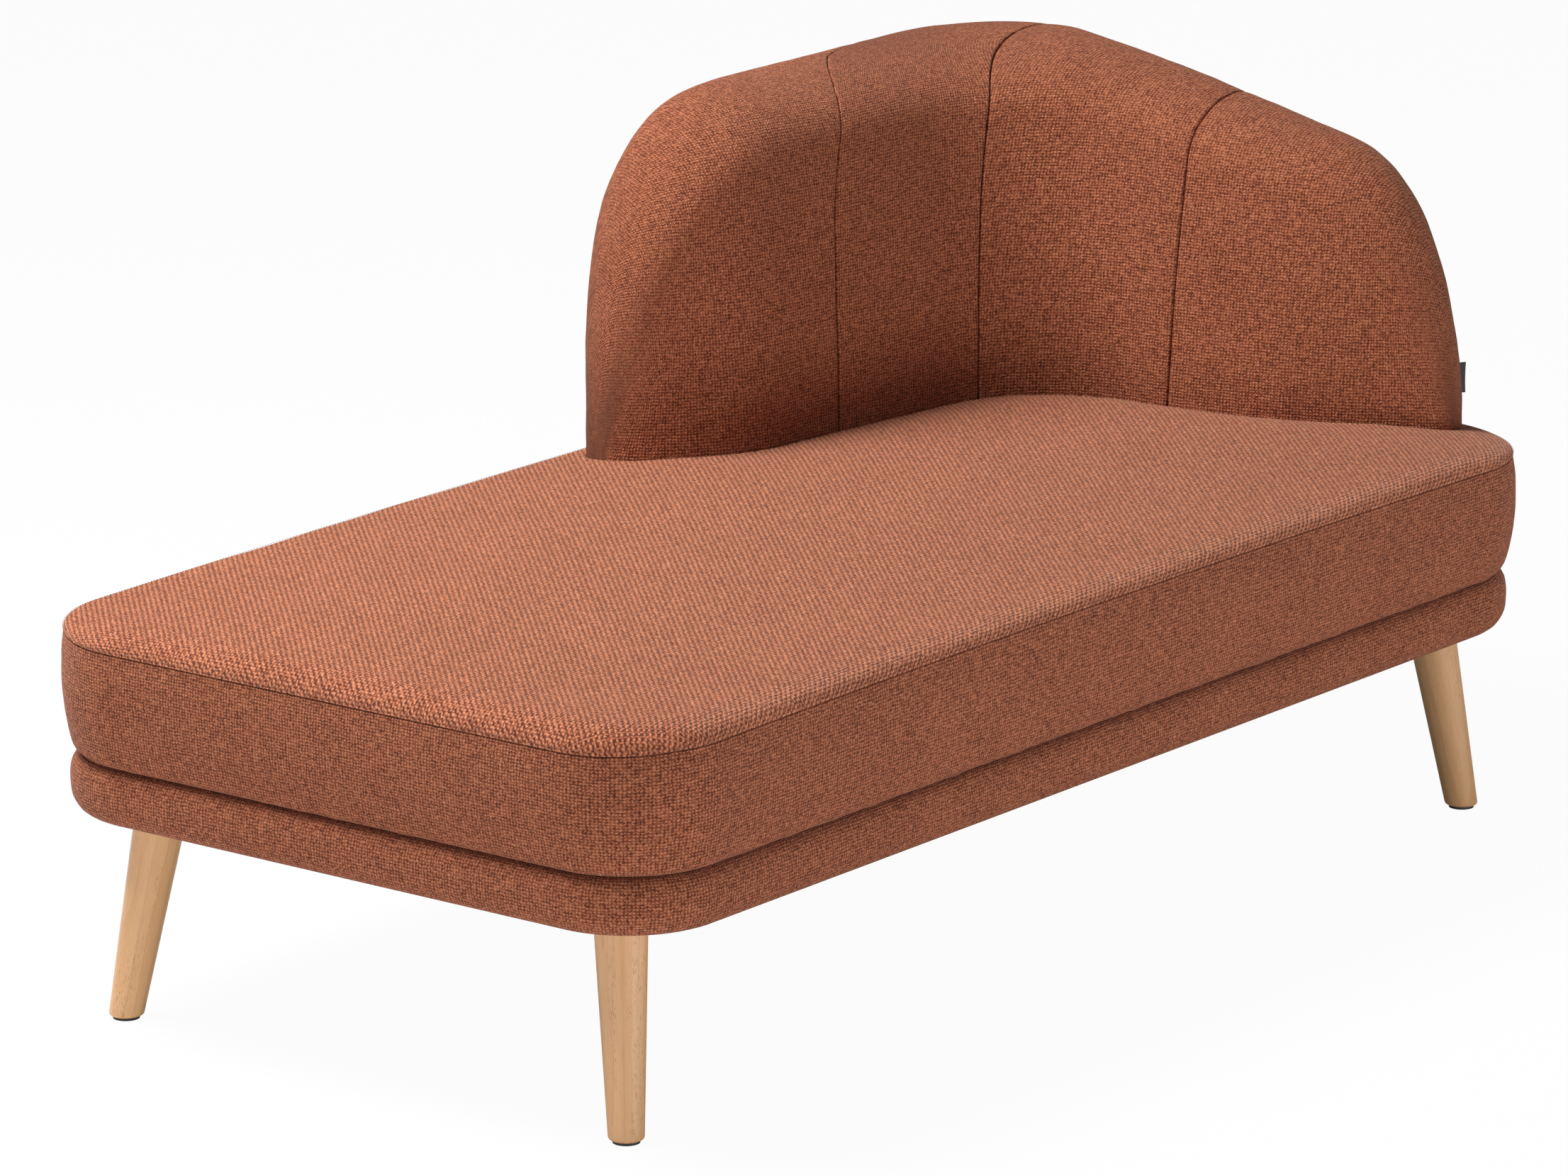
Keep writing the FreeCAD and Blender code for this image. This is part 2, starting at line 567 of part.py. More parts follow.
def footprint():
    """Plan of the back, a little larger, out past the edge of the seat."""
    z = back_base - soft
    margin = -size("footprint_clearance")
    tip = size("rear_wing_tip")
    taper = size("rear_wing_taper")
    arc_end = fan_x + fan_length
    head = spine_end - arc_end
    places = [tip + taper * share for share in (0.005, 0.03, 0.1, 0.22, 0.42, 0.7, 1.0)]
    head_places = [arc_end + head * share for share in (0.0, 0.2, 0.4, 0.58, 0.72, 0.84, 0.92, 0.975, 0.997)]
    marks = [Station(place).at(margin, z) for place in places]
    head_marks = [Station(place).at(margin, z) for place in head_places]
    corner_marks = [Station(place).at(margin, z) for place in (fan_x, fan_x + fan_length / 2)]
    edges = [Part.Arc(*marks[index:index + 3]) for index in (0, 2, 4)]
    edges.append(Part.LineSegment(marks[-1], corner_marks[0]))
    edges.append(Part.Arc(corner_marks[0], corner_marks[1], head_marks[0]))
    edges += [Part.Arc(*head_marks[index:index + 3]) for index in (0, 2, 4, 6)]
    marks.append(head_marks[-1])
    far_x = half_x + 60
    far_y = half_y + 60
    corners = [marks[-1], V(far_x, marks[-1].y, z), V(far_x, far_y, z), V(marks[0].x, far_y, z), marks[0]]
    edges += [Part.LineSegment(corners[i], corners[i + 1]) for i in range(4)]
    return Part.Face(Part.Wire([edge.toShape() for edge in edges]))


top = top.cut(footprint().extrude(V(0, 0, 60)))
solid_feature("seat_top_panel", bored(top, spacer_hole, size("seam_height") - 1, back_base))

# Plywood plate under the back frame, a strip along the rear and one along the head
trim = size("cover_outer") + size("rib_gap")
board = size("board_thickness")
plate_radius = size("corner_radius") - size("back_inset") - trim
plate_x = back_x - trim
plate_y = back_y - trim
strip = size("plate_strip")
turn_x = plate_x - plate_radius
turn_y = plate_y - plate_radius
rear_start = rear_split + size("plate_setback")
head_start = size("plate_head_end")
plate = Part.makeBox(turn_x - rear_start, strip, board, V(rear_start, plate_y - strip, back_base))
plate = plate.fuse(Part.makeBox(strip, turn_y - head_start, board, V(plate_x - strip, head_start, back_base)))
turn = Part.makeCylinder(plate_radius, board, V(turn_x, turn_y, back_base), V(0, 0, 1), 90)
inner_corner = Part.makeBox(turn_x - plate_x + strip, turn_y - plate_y + strip, board,
                            V(plate_x - strip, plate_y - strip, back_base))
plate = plate.fuse([turn, inner_corner]).removeSplitter()
bolt_hole = size("back_bolt_diameter") + fit
solid_feature("back_base_plate", bored(plate, bolt_hole, back_base - 1, back_base + board + 1))

# Upper rails of the back, let into the ribs
rail_z = size("back_rail_top") - size("back_rail_height")
rail_t = size("back_rail_thickness")
rail_end_x = back_x - size("top_corner_radius")
rail_end_y = back_y - size("top_corner_radius")
rails = {
    "back_rail_rear": Part.makeBox(rail_end_x - rear_start, rail_t, size("back_rail_height"),
                                   V(rear_start, plate_y - rail_t, rail_z)),
    "back_rail_head": Part.makeBox(rail_t, rail_end_y - head_start, size("back_rail_height"),
                                   V(plate_x - rail_t, head_start, rail_z))}
for node, shape in rails.items():
    solid_feature(node, shape)

# Posts from the plate up the inside of the rails at the corner
post = size("post_side")
post_height = size("back_rail_top") - back_base - board
post_places = {"back_post_rear": (rail_end_x - post, plate_y - rail_t - post),
               "back_post_head": (plate_x - rail_t - post, rail_end_y - post)}
for node, (x, y) in post_places.items():
    solid_feature(node, Part.makeBox(post, post, post_height, V(x, y, back_base + board)))

# Ribs of the back, each cut round the rail that it crosses
rib_places = [rear_start, size("seam_a") - 2 * board, fan_x - board, fan_x + fan_length + board,
              fan_x + fan_length + size("rib_pitch")]
for number, place in enumerate(rib_places, start=1):
    rib = Station(place).rib()
    for rail in rails.values():
        bounds = rail.BoundBox
        rib = rib.cut(Part.makeBox(bounds.XLength + 2 * fit + trim, bounds.YLength + 2 * fit + trim,
                                   bounds.ZLength + 2 * fit,
                                   V(bounds.XMin - fit, bounds.YMin - fit, bounds.ZMin - fit)))
    solid_feature("back_rib_%d" % number, rib)

# Bolts, tubes and nuts that hold the back on the base
board_low = rail_top - size("mount_board_thickness")
nut_top = back_base + board + size("nut_height")
bolts = []
tubes = []
for x, y in bolt_points:
    head = upright(x, y, size("bolt_head_diameter") / 2, board_low - size("bolt_head_height"), board_low)
    bolts.append(head.fuse(upright(x, y, size("back_bolt_diameter") / 2, board_low, nut_top)).removeSplitter())
    tube = upright(x, y, size("spacer_diameter") / 2, rail_top, back_base)
    tubes.append(tube.cut(upright(x, y, bolt_hole / 2, rail_top, back_base)))
    nut = upright(x, y, size("nut_diameter") / 2, back_base + board, nut_top)
    bolts.append(nut.cut(upright(x, y, size("back_bolt_diameter") / 2, back_base + board, nut_top)))
solid_feature("back_bolts_and_nuts", Part.makeCompound(bolts))
solid_feature("back_spacer_tubes", Part.makeCompound(tubes))

# Legs, leg plates, screws, hanger bolts and glides
plate_t = size("plate_thickness")
splay = size("leg_splay")
glide_t = size("glide_thickness")
screws = []
hangers = []
plate_points = [(ix * size("plate_hole_pitch") / 2, iy * size("plate_hole_pitch") / 2)
                for ix in (-1, 1) for iy in (-1, 1)]
for corner, sx, sy in CORNERS:
    x = sx * (half_x - size("leg_top_inset_x"))
    y = sy * (half_y - size("leg_top_inset_y"))
    foot_x = x + sx * splay
    foot_y = y + sy * splay
    foot = Part.Circle(V(foot_x, foot_y, glide_t), V(0, 0, 1), size("leg_foot_diameter") / 2)
    head = Part.Circle(V(x, y, leg_height), V(0, 0, 1), size("leg_top_diameter") / 2)
    leg = Part.makeLoft([Part.Wire(foot.toShape()), Part.Wire(head.toShape())], True, True)
    hanger_low = leg_height - size("hanger_in_leg")
    leg = leg.cut(upright(x, y, (size("hanger_diameter") + fit) / 2, hanger_low - fit, leg_height))
    pin_top = glide_t + size("glide_pin_length")
    leg = leg.cut(upright(foot_x, foot_y, (size("glide_pin_diameter") + fit) / 2, glide_t, pin_top + fit))
    solid_feature("leg_" + corner, leg)
    glide = upright(foot_x, foot_y, size("glide_diameter") / 2, 0, glide_t)
    glide = glide.fuse(upright(foot_x, foot_y, size("glide_pin_diameter") / 2, glide_t, pin_top)).removeSplitter()
    solid_feature("glide_" + corner, glide)
    plate_half = size("plate_side") / 2
    steel = Part.makeBox(2 * plate_half, 2 * plate_half, plate_t, V(x - plate_half, y - plate_half, leg_height))
    steel = steel.cut(upright(x, y, (size("hanger_diameter") + fit) / 2, leg_height, leg_height + plate_t))
    for px, py in plate_points:
        steel = steel.cut(upright(x + px, y + py, (size("screw_diameter") + fit) / 2, leg_height, leg_height + plate_t))
        screw_head = upright(x + px, y + py, size("screw_head_diameter") / 2,
                             leg_height - size("screw_head_height"), leg_height)
        screw_top = leg_height + size("screw_length")
        screws.append(screw_head.fuse(upright(x + px, y + py, size("screw_diameter") / 2,
                                              leg_height, screw_top)).removeSplitter())
    solid_feature("leg_plate_" + corner, steel)
    hangers.append(upright(x, y, size("hanger_diameter") / 2, hanger_low,
                           leg_height + plate_t + size("hanger_in_block")))
solid_feature("leg_plate_screws", Part.makeCompound(screws))
solid_feature("leg_hanger_bolts", Part.makeCompound(hangers))

# Cloth under the base, cut out round the leg plates
dust = prism(-size("dust_inset"), rail_bottom - size("dust_thickness") - soft, rail_bottom - soft)
window = size("plate_side") / 2 + 1 + fit
for corner, sx, sy in CORNERS:
    x = sx * (half_x - size("leg_top_inset_x"))
    y = sy * (half_y - size("leg_top_inset_y"))
    reach = window + size("plate_side")
    dust = dust.cut(Part.makeBox(reach, reach, 2 * board, V(x - window if sx > 0 else x + window - reach,
                                                            y - window if sy > 0 else y + window - reach,
                                                            leg_height - board)))
solid_feature("dust_cover", dust)

# Blank woven tag in the outer seam of the head wing
tag = Part.makeBox(size("tag_reach"), size("tag_thickness"), size("tag_height"),
                   V(back_x + soft, size("tag_place"), size("tag_base")))
solid_feature("side_tag", tag)

doc.recompute()
bad = [obj.Name for obj in doc.Objects if "Invalid" in obj.State or "Error" in obj.State]
bad += [node for node, obj in parts.items() if obj.Shape.isNull() or not obj.Shape.isValid()]
if bad:
    raise RuntimeError("failed: " + ", ".join(bad))

os.makedirs("parts", exist_ok=True)
for node, obj in parts.items():
    obj.Shape.exportStep("parts/" + node + ".step")
print(len(parts), "parts written")
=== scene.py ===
"""Upholstery, legs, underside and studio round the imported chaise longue."""

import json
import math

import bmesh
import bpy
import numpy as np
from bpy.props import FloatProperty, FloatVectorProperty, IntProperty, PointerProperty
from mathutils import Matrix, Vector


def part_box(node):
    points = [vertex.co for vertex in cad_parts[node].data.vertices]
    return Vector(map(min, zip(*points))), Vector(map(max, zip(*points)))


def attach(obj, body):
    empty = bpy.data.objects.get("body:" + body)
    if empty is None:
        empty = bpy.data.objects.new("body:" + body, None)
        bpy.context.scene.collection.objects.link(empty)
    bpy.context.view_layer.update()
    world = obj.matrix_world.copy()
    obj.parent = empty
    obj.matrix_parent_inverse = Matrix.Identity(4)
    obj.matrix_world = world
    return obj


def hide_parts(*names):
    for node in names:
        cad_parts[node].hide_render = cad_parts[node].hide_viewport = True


bl_info = {
    "name": "Chaise Longue",
    "version": (1, 0, 0),
    "blender": (4, 5, 0),
    "location": "3D View > Sidebar > Chaise",
    "description": "Upholstery, legs, underside and studio round the packed chaise longue",
    "category": "Object",
}

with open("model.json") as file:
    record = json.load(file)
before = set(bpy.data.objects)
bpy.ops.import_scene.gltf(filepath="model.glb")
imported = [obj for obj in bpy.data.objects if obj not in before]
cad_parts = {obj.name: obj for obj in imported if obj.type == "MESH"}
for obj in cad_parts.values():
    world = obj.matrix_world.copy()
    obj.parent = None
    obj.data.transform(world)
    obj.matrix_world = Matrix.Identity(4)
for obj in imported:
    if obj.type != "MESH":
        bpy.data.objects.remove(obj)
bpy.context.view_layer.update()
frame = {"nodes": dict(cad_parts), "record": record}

MM = 0.001
WELD = 2e-6  # points nearer than this become one
SLIVER = 1e-6  # edges shorter than this are dissolved
CRISP = 50  # degrees past which an edge isn't shaded smooth
CREST_SHARE = 0.90  # where the crest lies on the inner line of the back
JOINT_SHARE = 0.62  # where the joint behind the crest lies on the outer roll
SEAM_GAP = 0.25 * MM  # half the gap between two panels of the back
BOXING_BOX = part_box("seat_boxing")
BAND_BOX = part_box("base_band")
BACK_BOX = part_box("back_outer_cover")
TAG_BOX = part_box("side_tag")
CUSHION_SWELL = 11 * MM
CORNERS = {"front_foot": (-1, -1), "front_head": (1, -1), "rear_foot": (-1, 1), "rear_head": (1, 1)}

# Soft lumps in the padding: height and size in millimetres, and the seed of the random waves.
BOXING_LUMPS = ((0.9, 260, 3), (0.35, 60, 4))
TUCK_LUMPS = ((0.5, 34, 5),)
BAND_LUMPS = ((0.6, 180, 7), (0.3, 45, 8))
TOP_LUMPS = ((0.5, 150, 11),)
PANEL_LUMPS = ((0.45, 130, 20), (0.25, 38, 21))
COVER_LUMPS = ((0.5, 200, 24),)

# Seams between the inner panels: place of the foot along the back, lean to the crest, and sweep
# towards the corner, which grows with a power of the height.
SEAMS = (dict(foot=0.284, lean=0.030, sweep=0.120, power=5, top=1.06),
         dict(foot=0.489, lean=0.020, sweep=0.051, power=3),
         dict(foot=0.6995))

CLOTHS = {
    "body_cloth": dict(name="rust_plain_weave", painted_light_lift=1.0, rib=0.0, slub=0.52,
                       cell_up=3.15 * MM, height=0.65 * MM, sheen=0.10),
    # Same cloth as the body, made lighter by the lift: painted light on the top. Its ribs also show
    # in the colour as painted shade.
    "seat_cloth": dict(name="rust_ribbed_weave", painted_light_lift=1.34, rib=0.42, slub=0.62,
                       cell_up=3.9 * MM, height=0.9 * MM, sheen=0.32),
}
FRAME_WOODS = {
    "softwood_frame": dict(name="planed_softwood", pale=(0.70, 0.49, 0.27, 1),
                           deep=(0.52, 0.30, 0.13, 1), ring=6 * MM, roughness=0.7, pores=0.2),
    "plywood": dict(name="sanded_plywood", pale=(0.64, 0.45, 0.26, 1),
                    deep=(0.45, 0.28, 0.14, 1), ring=2.2 * MM, roughness=0.7, pores=0.5),
}
SPECKLED = {
    "webbing": dict(name="black_elastic_webbing", one=(0.02, 0.02, 0.02, 1),
                    two=(0.08, 0.075, 0.07, 1), scale=900.0, roughness=0.85, depth=0.3 * MM,
                    stretch=(1, 0.3, 1)),
    "felt": dict(name="grey_needled_felt", one=(0.10, 0.10, 0.10, 1), two=(0.24, 0.23, 0.22, 1),
                 scale=500.0, roughness=0.95, depth=0.5 * MM),
    "foam": dict(name="open_cell_foam", one=(0.60, 0.52, 0.30, 1), two=(0.78, 0.70, 0.46, 1),
                 scale=700.0, roughness=0.95, depth=0.6 * MM),
    "zinc_steel": dict(name="bright_zinc", one=(0.52, 0.53, 0.55, 1), two=(0.66, 0.67, 0.68, 1),
                       scale=140.0, roughness=0.34, depth=0.02 * MM, metallic=1.0),
    "glide_plastic": dict(name="black_moulded_glide", one=(0.012, 0.012, 0.012, 1),
                          two=(0.03, 0.03, 0.03, 1), scale=600.0, roughness=0.5,
                          depth=0.05 * MM),
    "dust_cloth": dict(name="black_spun_dust_cloth", one=(0.008, 0.008, 0.008, 1),
                       two=(0.03, 0.03, 0.03, 1), scale=260.0, roughness=0.95, depth=0.2 * MM,
                       stretch=(1, 2.5, 1)),
    "tag_ribbon": dict(name="black_ribbon", one=(0.006, 0.006, 0.006, 1),
                       two=(0.028, 0.028, 0.028, 1), scale=1400.0, roughness=0.7,
                       depth=0.15 * MM, stretch=(1, 1, 0.3)),
    "thread": dict(name="rust_sewing_thread", one=(0.22, 0.075, 0.040, 1),
                   two=(0.42, 0.17, 0.10, 1), scale=1500.0, roughness=0.6, depth=0.1 * MM),
}
FINISHES = {}

# Soft lamps: place, size, and the setting that holds the power.
SOFTBOXES = {
    "top_softbox": ((-1.1, 1.1, 3.1), (1.7, 1.7), "key"),
    "foot_softbox": ((-2.9, -0.3, 0.3), (1.8, 0.5), "side"),
    "open_side_softbox": ((0.1, -2.4, 0.18), (3.4, 0.3), "front"),
}


def metres(name, description, default):
    """A length that a user can change."""
    return FloatProperty(name=name, description=description, default=default, unit="LENGTH")


def tint(name, description, default):
    """A colour that a user can change."""
    return FloatVectorProperty(name=name, description=description, default=default,
                               subtype="COLOR", size=4, min=0, max=1)


class SeatSizes(bpy.types.PropertyGroup):
    """Sizes of the cushion and the padded band, taken from the frame where it has them."""

    length: metres("Length", "Foot end to head end at the groove",
                   2 * (BOXING_BOX[1].x - CUSHION_SWELL))
    width: metres("Width", "Open side to rear at the groove", 2 * (BOXING_BOX[1].y - CUSHION_SWELL))
    corner: metres("Corner radius", "Plan corner at the groove, behind the back", 94 * MM)
    near_corner: metres("Near corner", "Plan corner of the foot end, open side", 102 * MM)
    far_corner: metres("Far corner", "Plan corner of the foot end, rear", 116 * MM)
    head_corner: metres("Head corner", "Plan corner of the head end, open side", 140 * MM)
    swell: metres("Side swell", "How far the boxing swells past the groove", CUSHION_SWELL)
    band_low: metres("Band underside", "Floor to the underside of the band", BAND_BOX[0].z)
    groove: metres("Groove", "Floor to the groove", BAND_BOX[1].z)
    groove_depth: metres("Groove depth", "How far the groove is drawn in", 9 * MM)
    seam: metres("Seam", "Floor to the stitched seam", BOXING_BOX[1].z)
    seam_reach: metres("Seam reach", "Seam outside the groove outline", 8 * MM)
    seam_rise: metres("Seam rise", "Seam higher in the middle of the long side", 5 * MM)
    seam_fall: metres("Seam fall", "Seam lower at the ends", 7 * MM)
    shoulder: metres("Shoulder", "Height of the rolled edge over the seam", 23 * MM)
    shoulder_reach: metres("Shoulder reach", "Rolled edge, from the seam inward", 40 * MM)
    crown: metres("Crown", "Rise of the middle over the rolled edge", 7 * MM)
    rear_sink: metres("Rear sink", "Top lower along the rear edge", 14 * MM)
    head_sink: metres("Head sink", "Top lower along the head edge", 13 * MM)
    band_sag: metres("Band sag", "Padding of the band below the rails", 5 * MM)
    spacing: metres("Spacing", "Distance between points round the seat", 6 * MM)


class BackSizes(bpy.types.PropertyGroup):
    """Sizes of the padded back, in plan and in section."""

    base: metres("Base", "Floor to the underside of the back", BACK_BOX[0].z)
    height: metres("Height", "Floor to the top of the back", 765 * MM)
    inset: metres("Inset", "Outer face inside the groove outline", 8 * MM)
    rear: metres("Rear thickness", "Rear part at the seat", 172 * MM)
    turn: metres("Corner thickness", "Back where the corner starts", 194 * MM)
    head: metres("Head thickness", "Head part at the seat", 169 * MM)
    inner_corner: metres("Inner corner", "Inside corner radius at the seat", 150 * MM)
    top_corner: metres("Top corner", "Outside corner radius below the roll", 150 * MM)
    ridge_corner: metres("Ridge corner", "Corner radius of the ridge", 120 * MM)
    outer_roll: metres("Outer roll", "Ridge inside the outer face", 43 * MM)
    outer_roll_height: metres("Outer roll height", "Outer roll below the ridge", 50 * MM)
    inner_roll_height: metres("Inner roll height", "Inner roll below the ridge", 68 * MM)
    lean: FloatProperty(name="Lean", description="Inner face, run over rise", default=0.137)
    swell: metres("Face swell", "Inner face, swell over its chord", 5 * MM)
    rear_tip: metres("Rear tip", "Tip of the rear wing along the seat", 52 * MM)
    rear_taper: metres("Rear taper", "Length of the rear wing's taper", 170 * MM)
    rear_rise: metres("Rear rise", "Length over which its top rises", 250 * MM)
    head_tip: metres("Head tip", "Tip of the head wing across the seat", -291 * MM)
    head_taper: metres("Head taper", "Length of the head wing's taper", 318 * MM)
    head_rise: metres("Head rise", "Length over which its top rises", 150 * MM)
    top_fall: metres("Top fall", "Fall of the head wing's top line", 68 * MM)
    fall_start: metres("Fall start", "Where that fall starts, across the seat", 205 * MM)
    fall_run: metres("Fall run", "Length of that fall", 329 * MM)
    tip_round: metres("Tip round", "Outer corner of a wing tip", 80 * MM)
    rear_wrap: metres("Rear wrap", "Inner cover wrapped round the rear tip", 70 * MM)
    head_wrap: metres("Head wrap", "Inner cover wrapped round the head tip", 25 * MM)
    rows: IntProperty(name="Rows", description="Rows of points up the inner face", default=64)


class ClothColours(bpy.types.PropertyGroup):
    """Colours of the woven cloth and the woods."""

    ground: tint("Ground", "Most of the yarn", (0.285, 0.080, 0.036, 1))
    light: tint("Light", "Lightest yarn", (0.540, 0.205, 0.104, 1))
    dark: tint("Dark", "Darkest yarn", (0.090, 0.020, 0.009, 1))
    leg: tint("Leg", "Clear-lacquered leg wood", (0.700, 0.400, 0.190, 1))
    leg_grain: tint("Leg grain", "Darker grain of the leg wood", (0.500, 0.250, 0.100, 1))


class StudioSettings(bpy.types.PropertyGroup):
    """Camera, lamps and the pale background."""

    lens: FloatProperty(name="Lens", description="Focal length in millimetres", default=196.6)
    azimuth: FloatProperty(name="Azimuth", description="Degrees round from the open side",
                           default=-52.424)
    elevation: FloatProperty(name="Elevation", description="Degrees above the seat", default=14.338)
    distance: metres("Distance", "Camera to the middle of the seat", 8.4914)
    aim_height: metres("Aim height", "Height the fitted axis passes through", 0.4053)
    right_shift: FloatProperty(name="Right",
                               description="Object right of the middle, share of the width",
                               default=0.02348)
    up_shift: FloatProperty(name="Up", description="Object above the middle, share of the width",
                            default=0.04578)
    key: FloatProperty(name="Key", description="Power of the large top lamp", default=152.0)
    side: FloatProperty(name="Side", description="Power of the lamp at the foot end", default=11.0)
    front: FloatProperty(name="Front", description="Power of the lamp at the open side",
                         default=27.0)
    ambient: FloatProperty(name="Ambient", description="Strength of the surroundings", default=0.12)


def runs(points):
    """Length along an open line at each of its points."""
    return np.concatenate([[0], np.cumsum(np.linalg.norm(np.diff(points, axis=0), axis=1))])


def at_runs(points, run, places):
    """Points of a line at places along it, where run says how far each point is."""
    return np.stack([np.interp(places, run, points[:, i]) for i in range(points.shape[1])], 1)


def smoothed(points, step, reach):
    """Points of an open line, made even along its length and rounded, with its ends kept."""
    points = np.asarray(points, float)
    run = runs(points)
    line = at_runs(points, run, np.linspace(0, run[-1], max(8, int(run[-1] / step))))
    half = max(1, int(3 * reach / step))
    weights = np.exp(-0.5 * (np.arange(-half, half + 1) * step / reach) ** 2)
    weights /= weights.sum()
    before, after = 2 * line[0] - line[half:0:-1], 2 * line[-1] - line[-2:-half - 2:-1]
    padded = np.concatenate([before, line, after])
    return np.stack([np.convolve(padded[:, i], weights, "valid") for i in range(points.shape[1])],
                    1)


def along_line(points, shares):
    """Points at shares of a line's length."""
    run = runs(points)
    return at_runs(points, run, shares * run[-1])


def ripple(points, size, seed, count=16):
    """Soft random swell with lumps of about the given size, between about -1 and 1."""
    draw = np.random.default_rng(seed)
    ways = draw.normal(size=(count, 3))
    ways /= np.linalg.norm(ways, axis=1)[:, None]
    waves = ways * (draw.uniform(0.6, 1.6, count) * math.tau / size)[:, None]
    turns = draw.uniform(0, math.tau, count)
    return np.cos(points @ waves.T + turns).sum(1) / math.sqrt(2 * count)


def lumps(points, layers):
    """Sum of ripples, from layers of (height, size, seed) in millimetres."""
    return sum(height * MM * ripple(points, size * MM, seed) for height, size, seed in layers)


def swelling(part, power, root):
    """Growth from 0 to 1 that starts steep and round and ends level."""
    return (1 - (1 - min(max(part, 0.0), 1.0)) ** power) ** (1 / root)


def seam_spacing(length, fine_start, fine_end, step):
    """Shares of a length, close together at a sewn edge."""
    fine = np.array([0, 0.35, 0.8, 1.5, 2.6, 4.6, 8]) * MM / length
    start = fine if fine_start else fine[:1]
    end = (1 - fine[::-1]) if fine_end else np.array([1.0])
    count = max(2, int((end[0] - start[-1]) * length / step))
    return np.concatenate([start[:-1], np.linspace(start[-1], end[0], count), end[1:]])


def seam_dive(distance):
    """How far cloth is drawn in at a distance from a seam: a tight slit in a shallow dish."""
    slit = 4.6 * MM * np.exp(-distance / (0.6 * MM))
    dish = 0.4 * MM * np.exp(-(distance / (8 * MM)) ** 2)
    return slit + dish


def linked(name, data):
    """New object in the scene, at the origin."""
    made = bpy.data.objects.new(name, data)
    bpy.context.scene.collection.objects.link(made)
    return made


def outward(mesh, weld=False):
    """Turn the faces outward, after points that lie together are merged where asked."""
    work = bmesh.new()
    work.from_mesh(mesh)
    if weld:
        bmesh.ops.remove_doubles(work, verts=work.verts, dist=WELD)
        bmesh.ops.dissolve_degenerate(work, edges=work.edges, dist=SLIVER)
    bmesh.ops.recalc_face_normals(work, faces=work.faces)
    work.to_mesh(mesh)
    work.free()


def make_object(name, points, faces, corner_uv, material, crisp=CRISP):
    """Mesh object with its own surface map, in metres, one pair for each face corner."""
    mesh = bpy.data.meshes.new(name)
    mesh.from_pydata([tuple(p) for p in points], [], faces)
    layer = mesh.uv_layers.new(name="cloth")
    layer.data.foreach_set("uv", np.asarray(corner_uv, np.float32).ravel())
    mesh.materials.append(material)
    outward(mesh, weld=True)
    mesh.shade_smooth()
    mesh.set_sharp_from_angle(angle=math.radians(crisp))
    return linked(name, mesh)


def finish_piece(piece, slot, *nodes, fill=None):
    """Ride on the frame and stand for the nodes; slot and fill are not used."""
    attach(piece, "root")
    if nodes:
        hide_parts(*nodes)
    return piece


class Plan:
    """Rounded outline of the seat as points that can be moved in or out together."""

    def __init__(self, sizes):
        self.half = np.array([sizes.length / 2, sizes.width / 2])
        self.corners = []
        for sign, radius, start in (((-1, 1), sizes.far_corner, 0.5),
                                    ((-1, -1), sizes.near_corner, 1.0),
                                    ((1, -1), sizes.head_corner, 1.5),
                                    ((1, 1), sizes.corner, 0.0)):
            count = int(radius * math.pi / 2 / sizes.spacing) + 2
            turn = (start + np.linspace(0, 0.5, count)) * math.pi
            ways = np.column_stack([np.cos(turn), np.sin(turn)])
            self.corners.append((np.array(sign), radius, ways))
        self.shares = [np.linspace(0, 1, int(2 * self.half[side % 2] / sizes.spacing))[1:-1]
                       for side in range(4)]
        ways = []
        for share, way, corner in zip(self.shares, ((0, 1), (-1, 0), (0, -1), (1, 0)),
                                      self.corners):
            ways += [np.tile(np.array(way, float), (len(share), 1)), corner[2]]
        self.ways = np.concatenate(ways)

    def at(self, offset, least=60 * MM):
        """The outline moved out by the offset, with no corner tighter than least."""
        half = self.half + offset
        arcs = []
        for sign, radius, ways in self.corners:
            radius = min(max(radius + offset, least), half[1])
            arcs.append(sign * (half - radius) + radius * ways)
        ring = []
        for side, share in enumerate(self.shares):
            start, stop = arcs[side - 1][-1], arcs[side][0]
            ring += [start + share[:, None] * (stop - start), arcs[side]]
        return np.concatenate(ring)

    def lengths(self):
        """Run of each point round the outline, with the whole length last."""
        ring = self.at(0.0)
        return runs(np.concatenate([ring, ring[:1]]))


def seam_warp(sizes, points):
    """The seam stands higher in the middle of the long sides and lower at the ends."""
    foot_start, foot_fall = 0.93, 2.5 * MM
    half = sizes.length / 2
    share = np.clip(np.abs(points[:, 0]) / half, 0, 1)
    foot = np.clip((-points[:, 0] - foot_start * half) / ((1 - foot_start) * half), 0, 1)
    change = sizes.seam_rise - sizes.seam_fall * share ** 2.4 - foot_fall * foot
    low = np.clip((points[:, 2] - sizes.groove) / (sizes.seam - sizes.groove), 0, 1)
    high = np.clip((sizes.seam + sizes.shoulder - points[:, 2]) / sizes.shoulder, 0, 1)
    moved = points.copy()
    moved[:, 2] += change * np.where(points[:, 2] < sizes.seam, low ** 1.6, high)
    return moved


def swept(plan, loop, closed):
    """Points and faces of a profile of (offset, height) pairs carried round the plan."""
    around = len(plan.ways)
    rings = [np.column_stack([plan.at(offset), np.full(around, z)]) for offset, z in loop]
    where = [(row, step) for row in range(len(loop) if closed else len(loop) - 1)
             for step in range(around)]
    faces = []
    for row, step in where:
        lower, upper, after = row * around, (row + 1) % len(loop) * around, (step + 1) % around
        faces.append((lower + step, lower + after, upper + after, upper + step))
    return np.concatenate(rings), faces, where


def sweep_map(plan, loop, where):
    """Surface map of a swept piece: length round the plan, and length along the profile."""
    around = plan.lengths()
    up = runs(np.array(loop + loop[:1]))
    corners = ((0, 0), (1, 0), (1, 1), (0, 1))
    return [(around[step + i], up[row + j]) for row, step in where for i, j in corners]


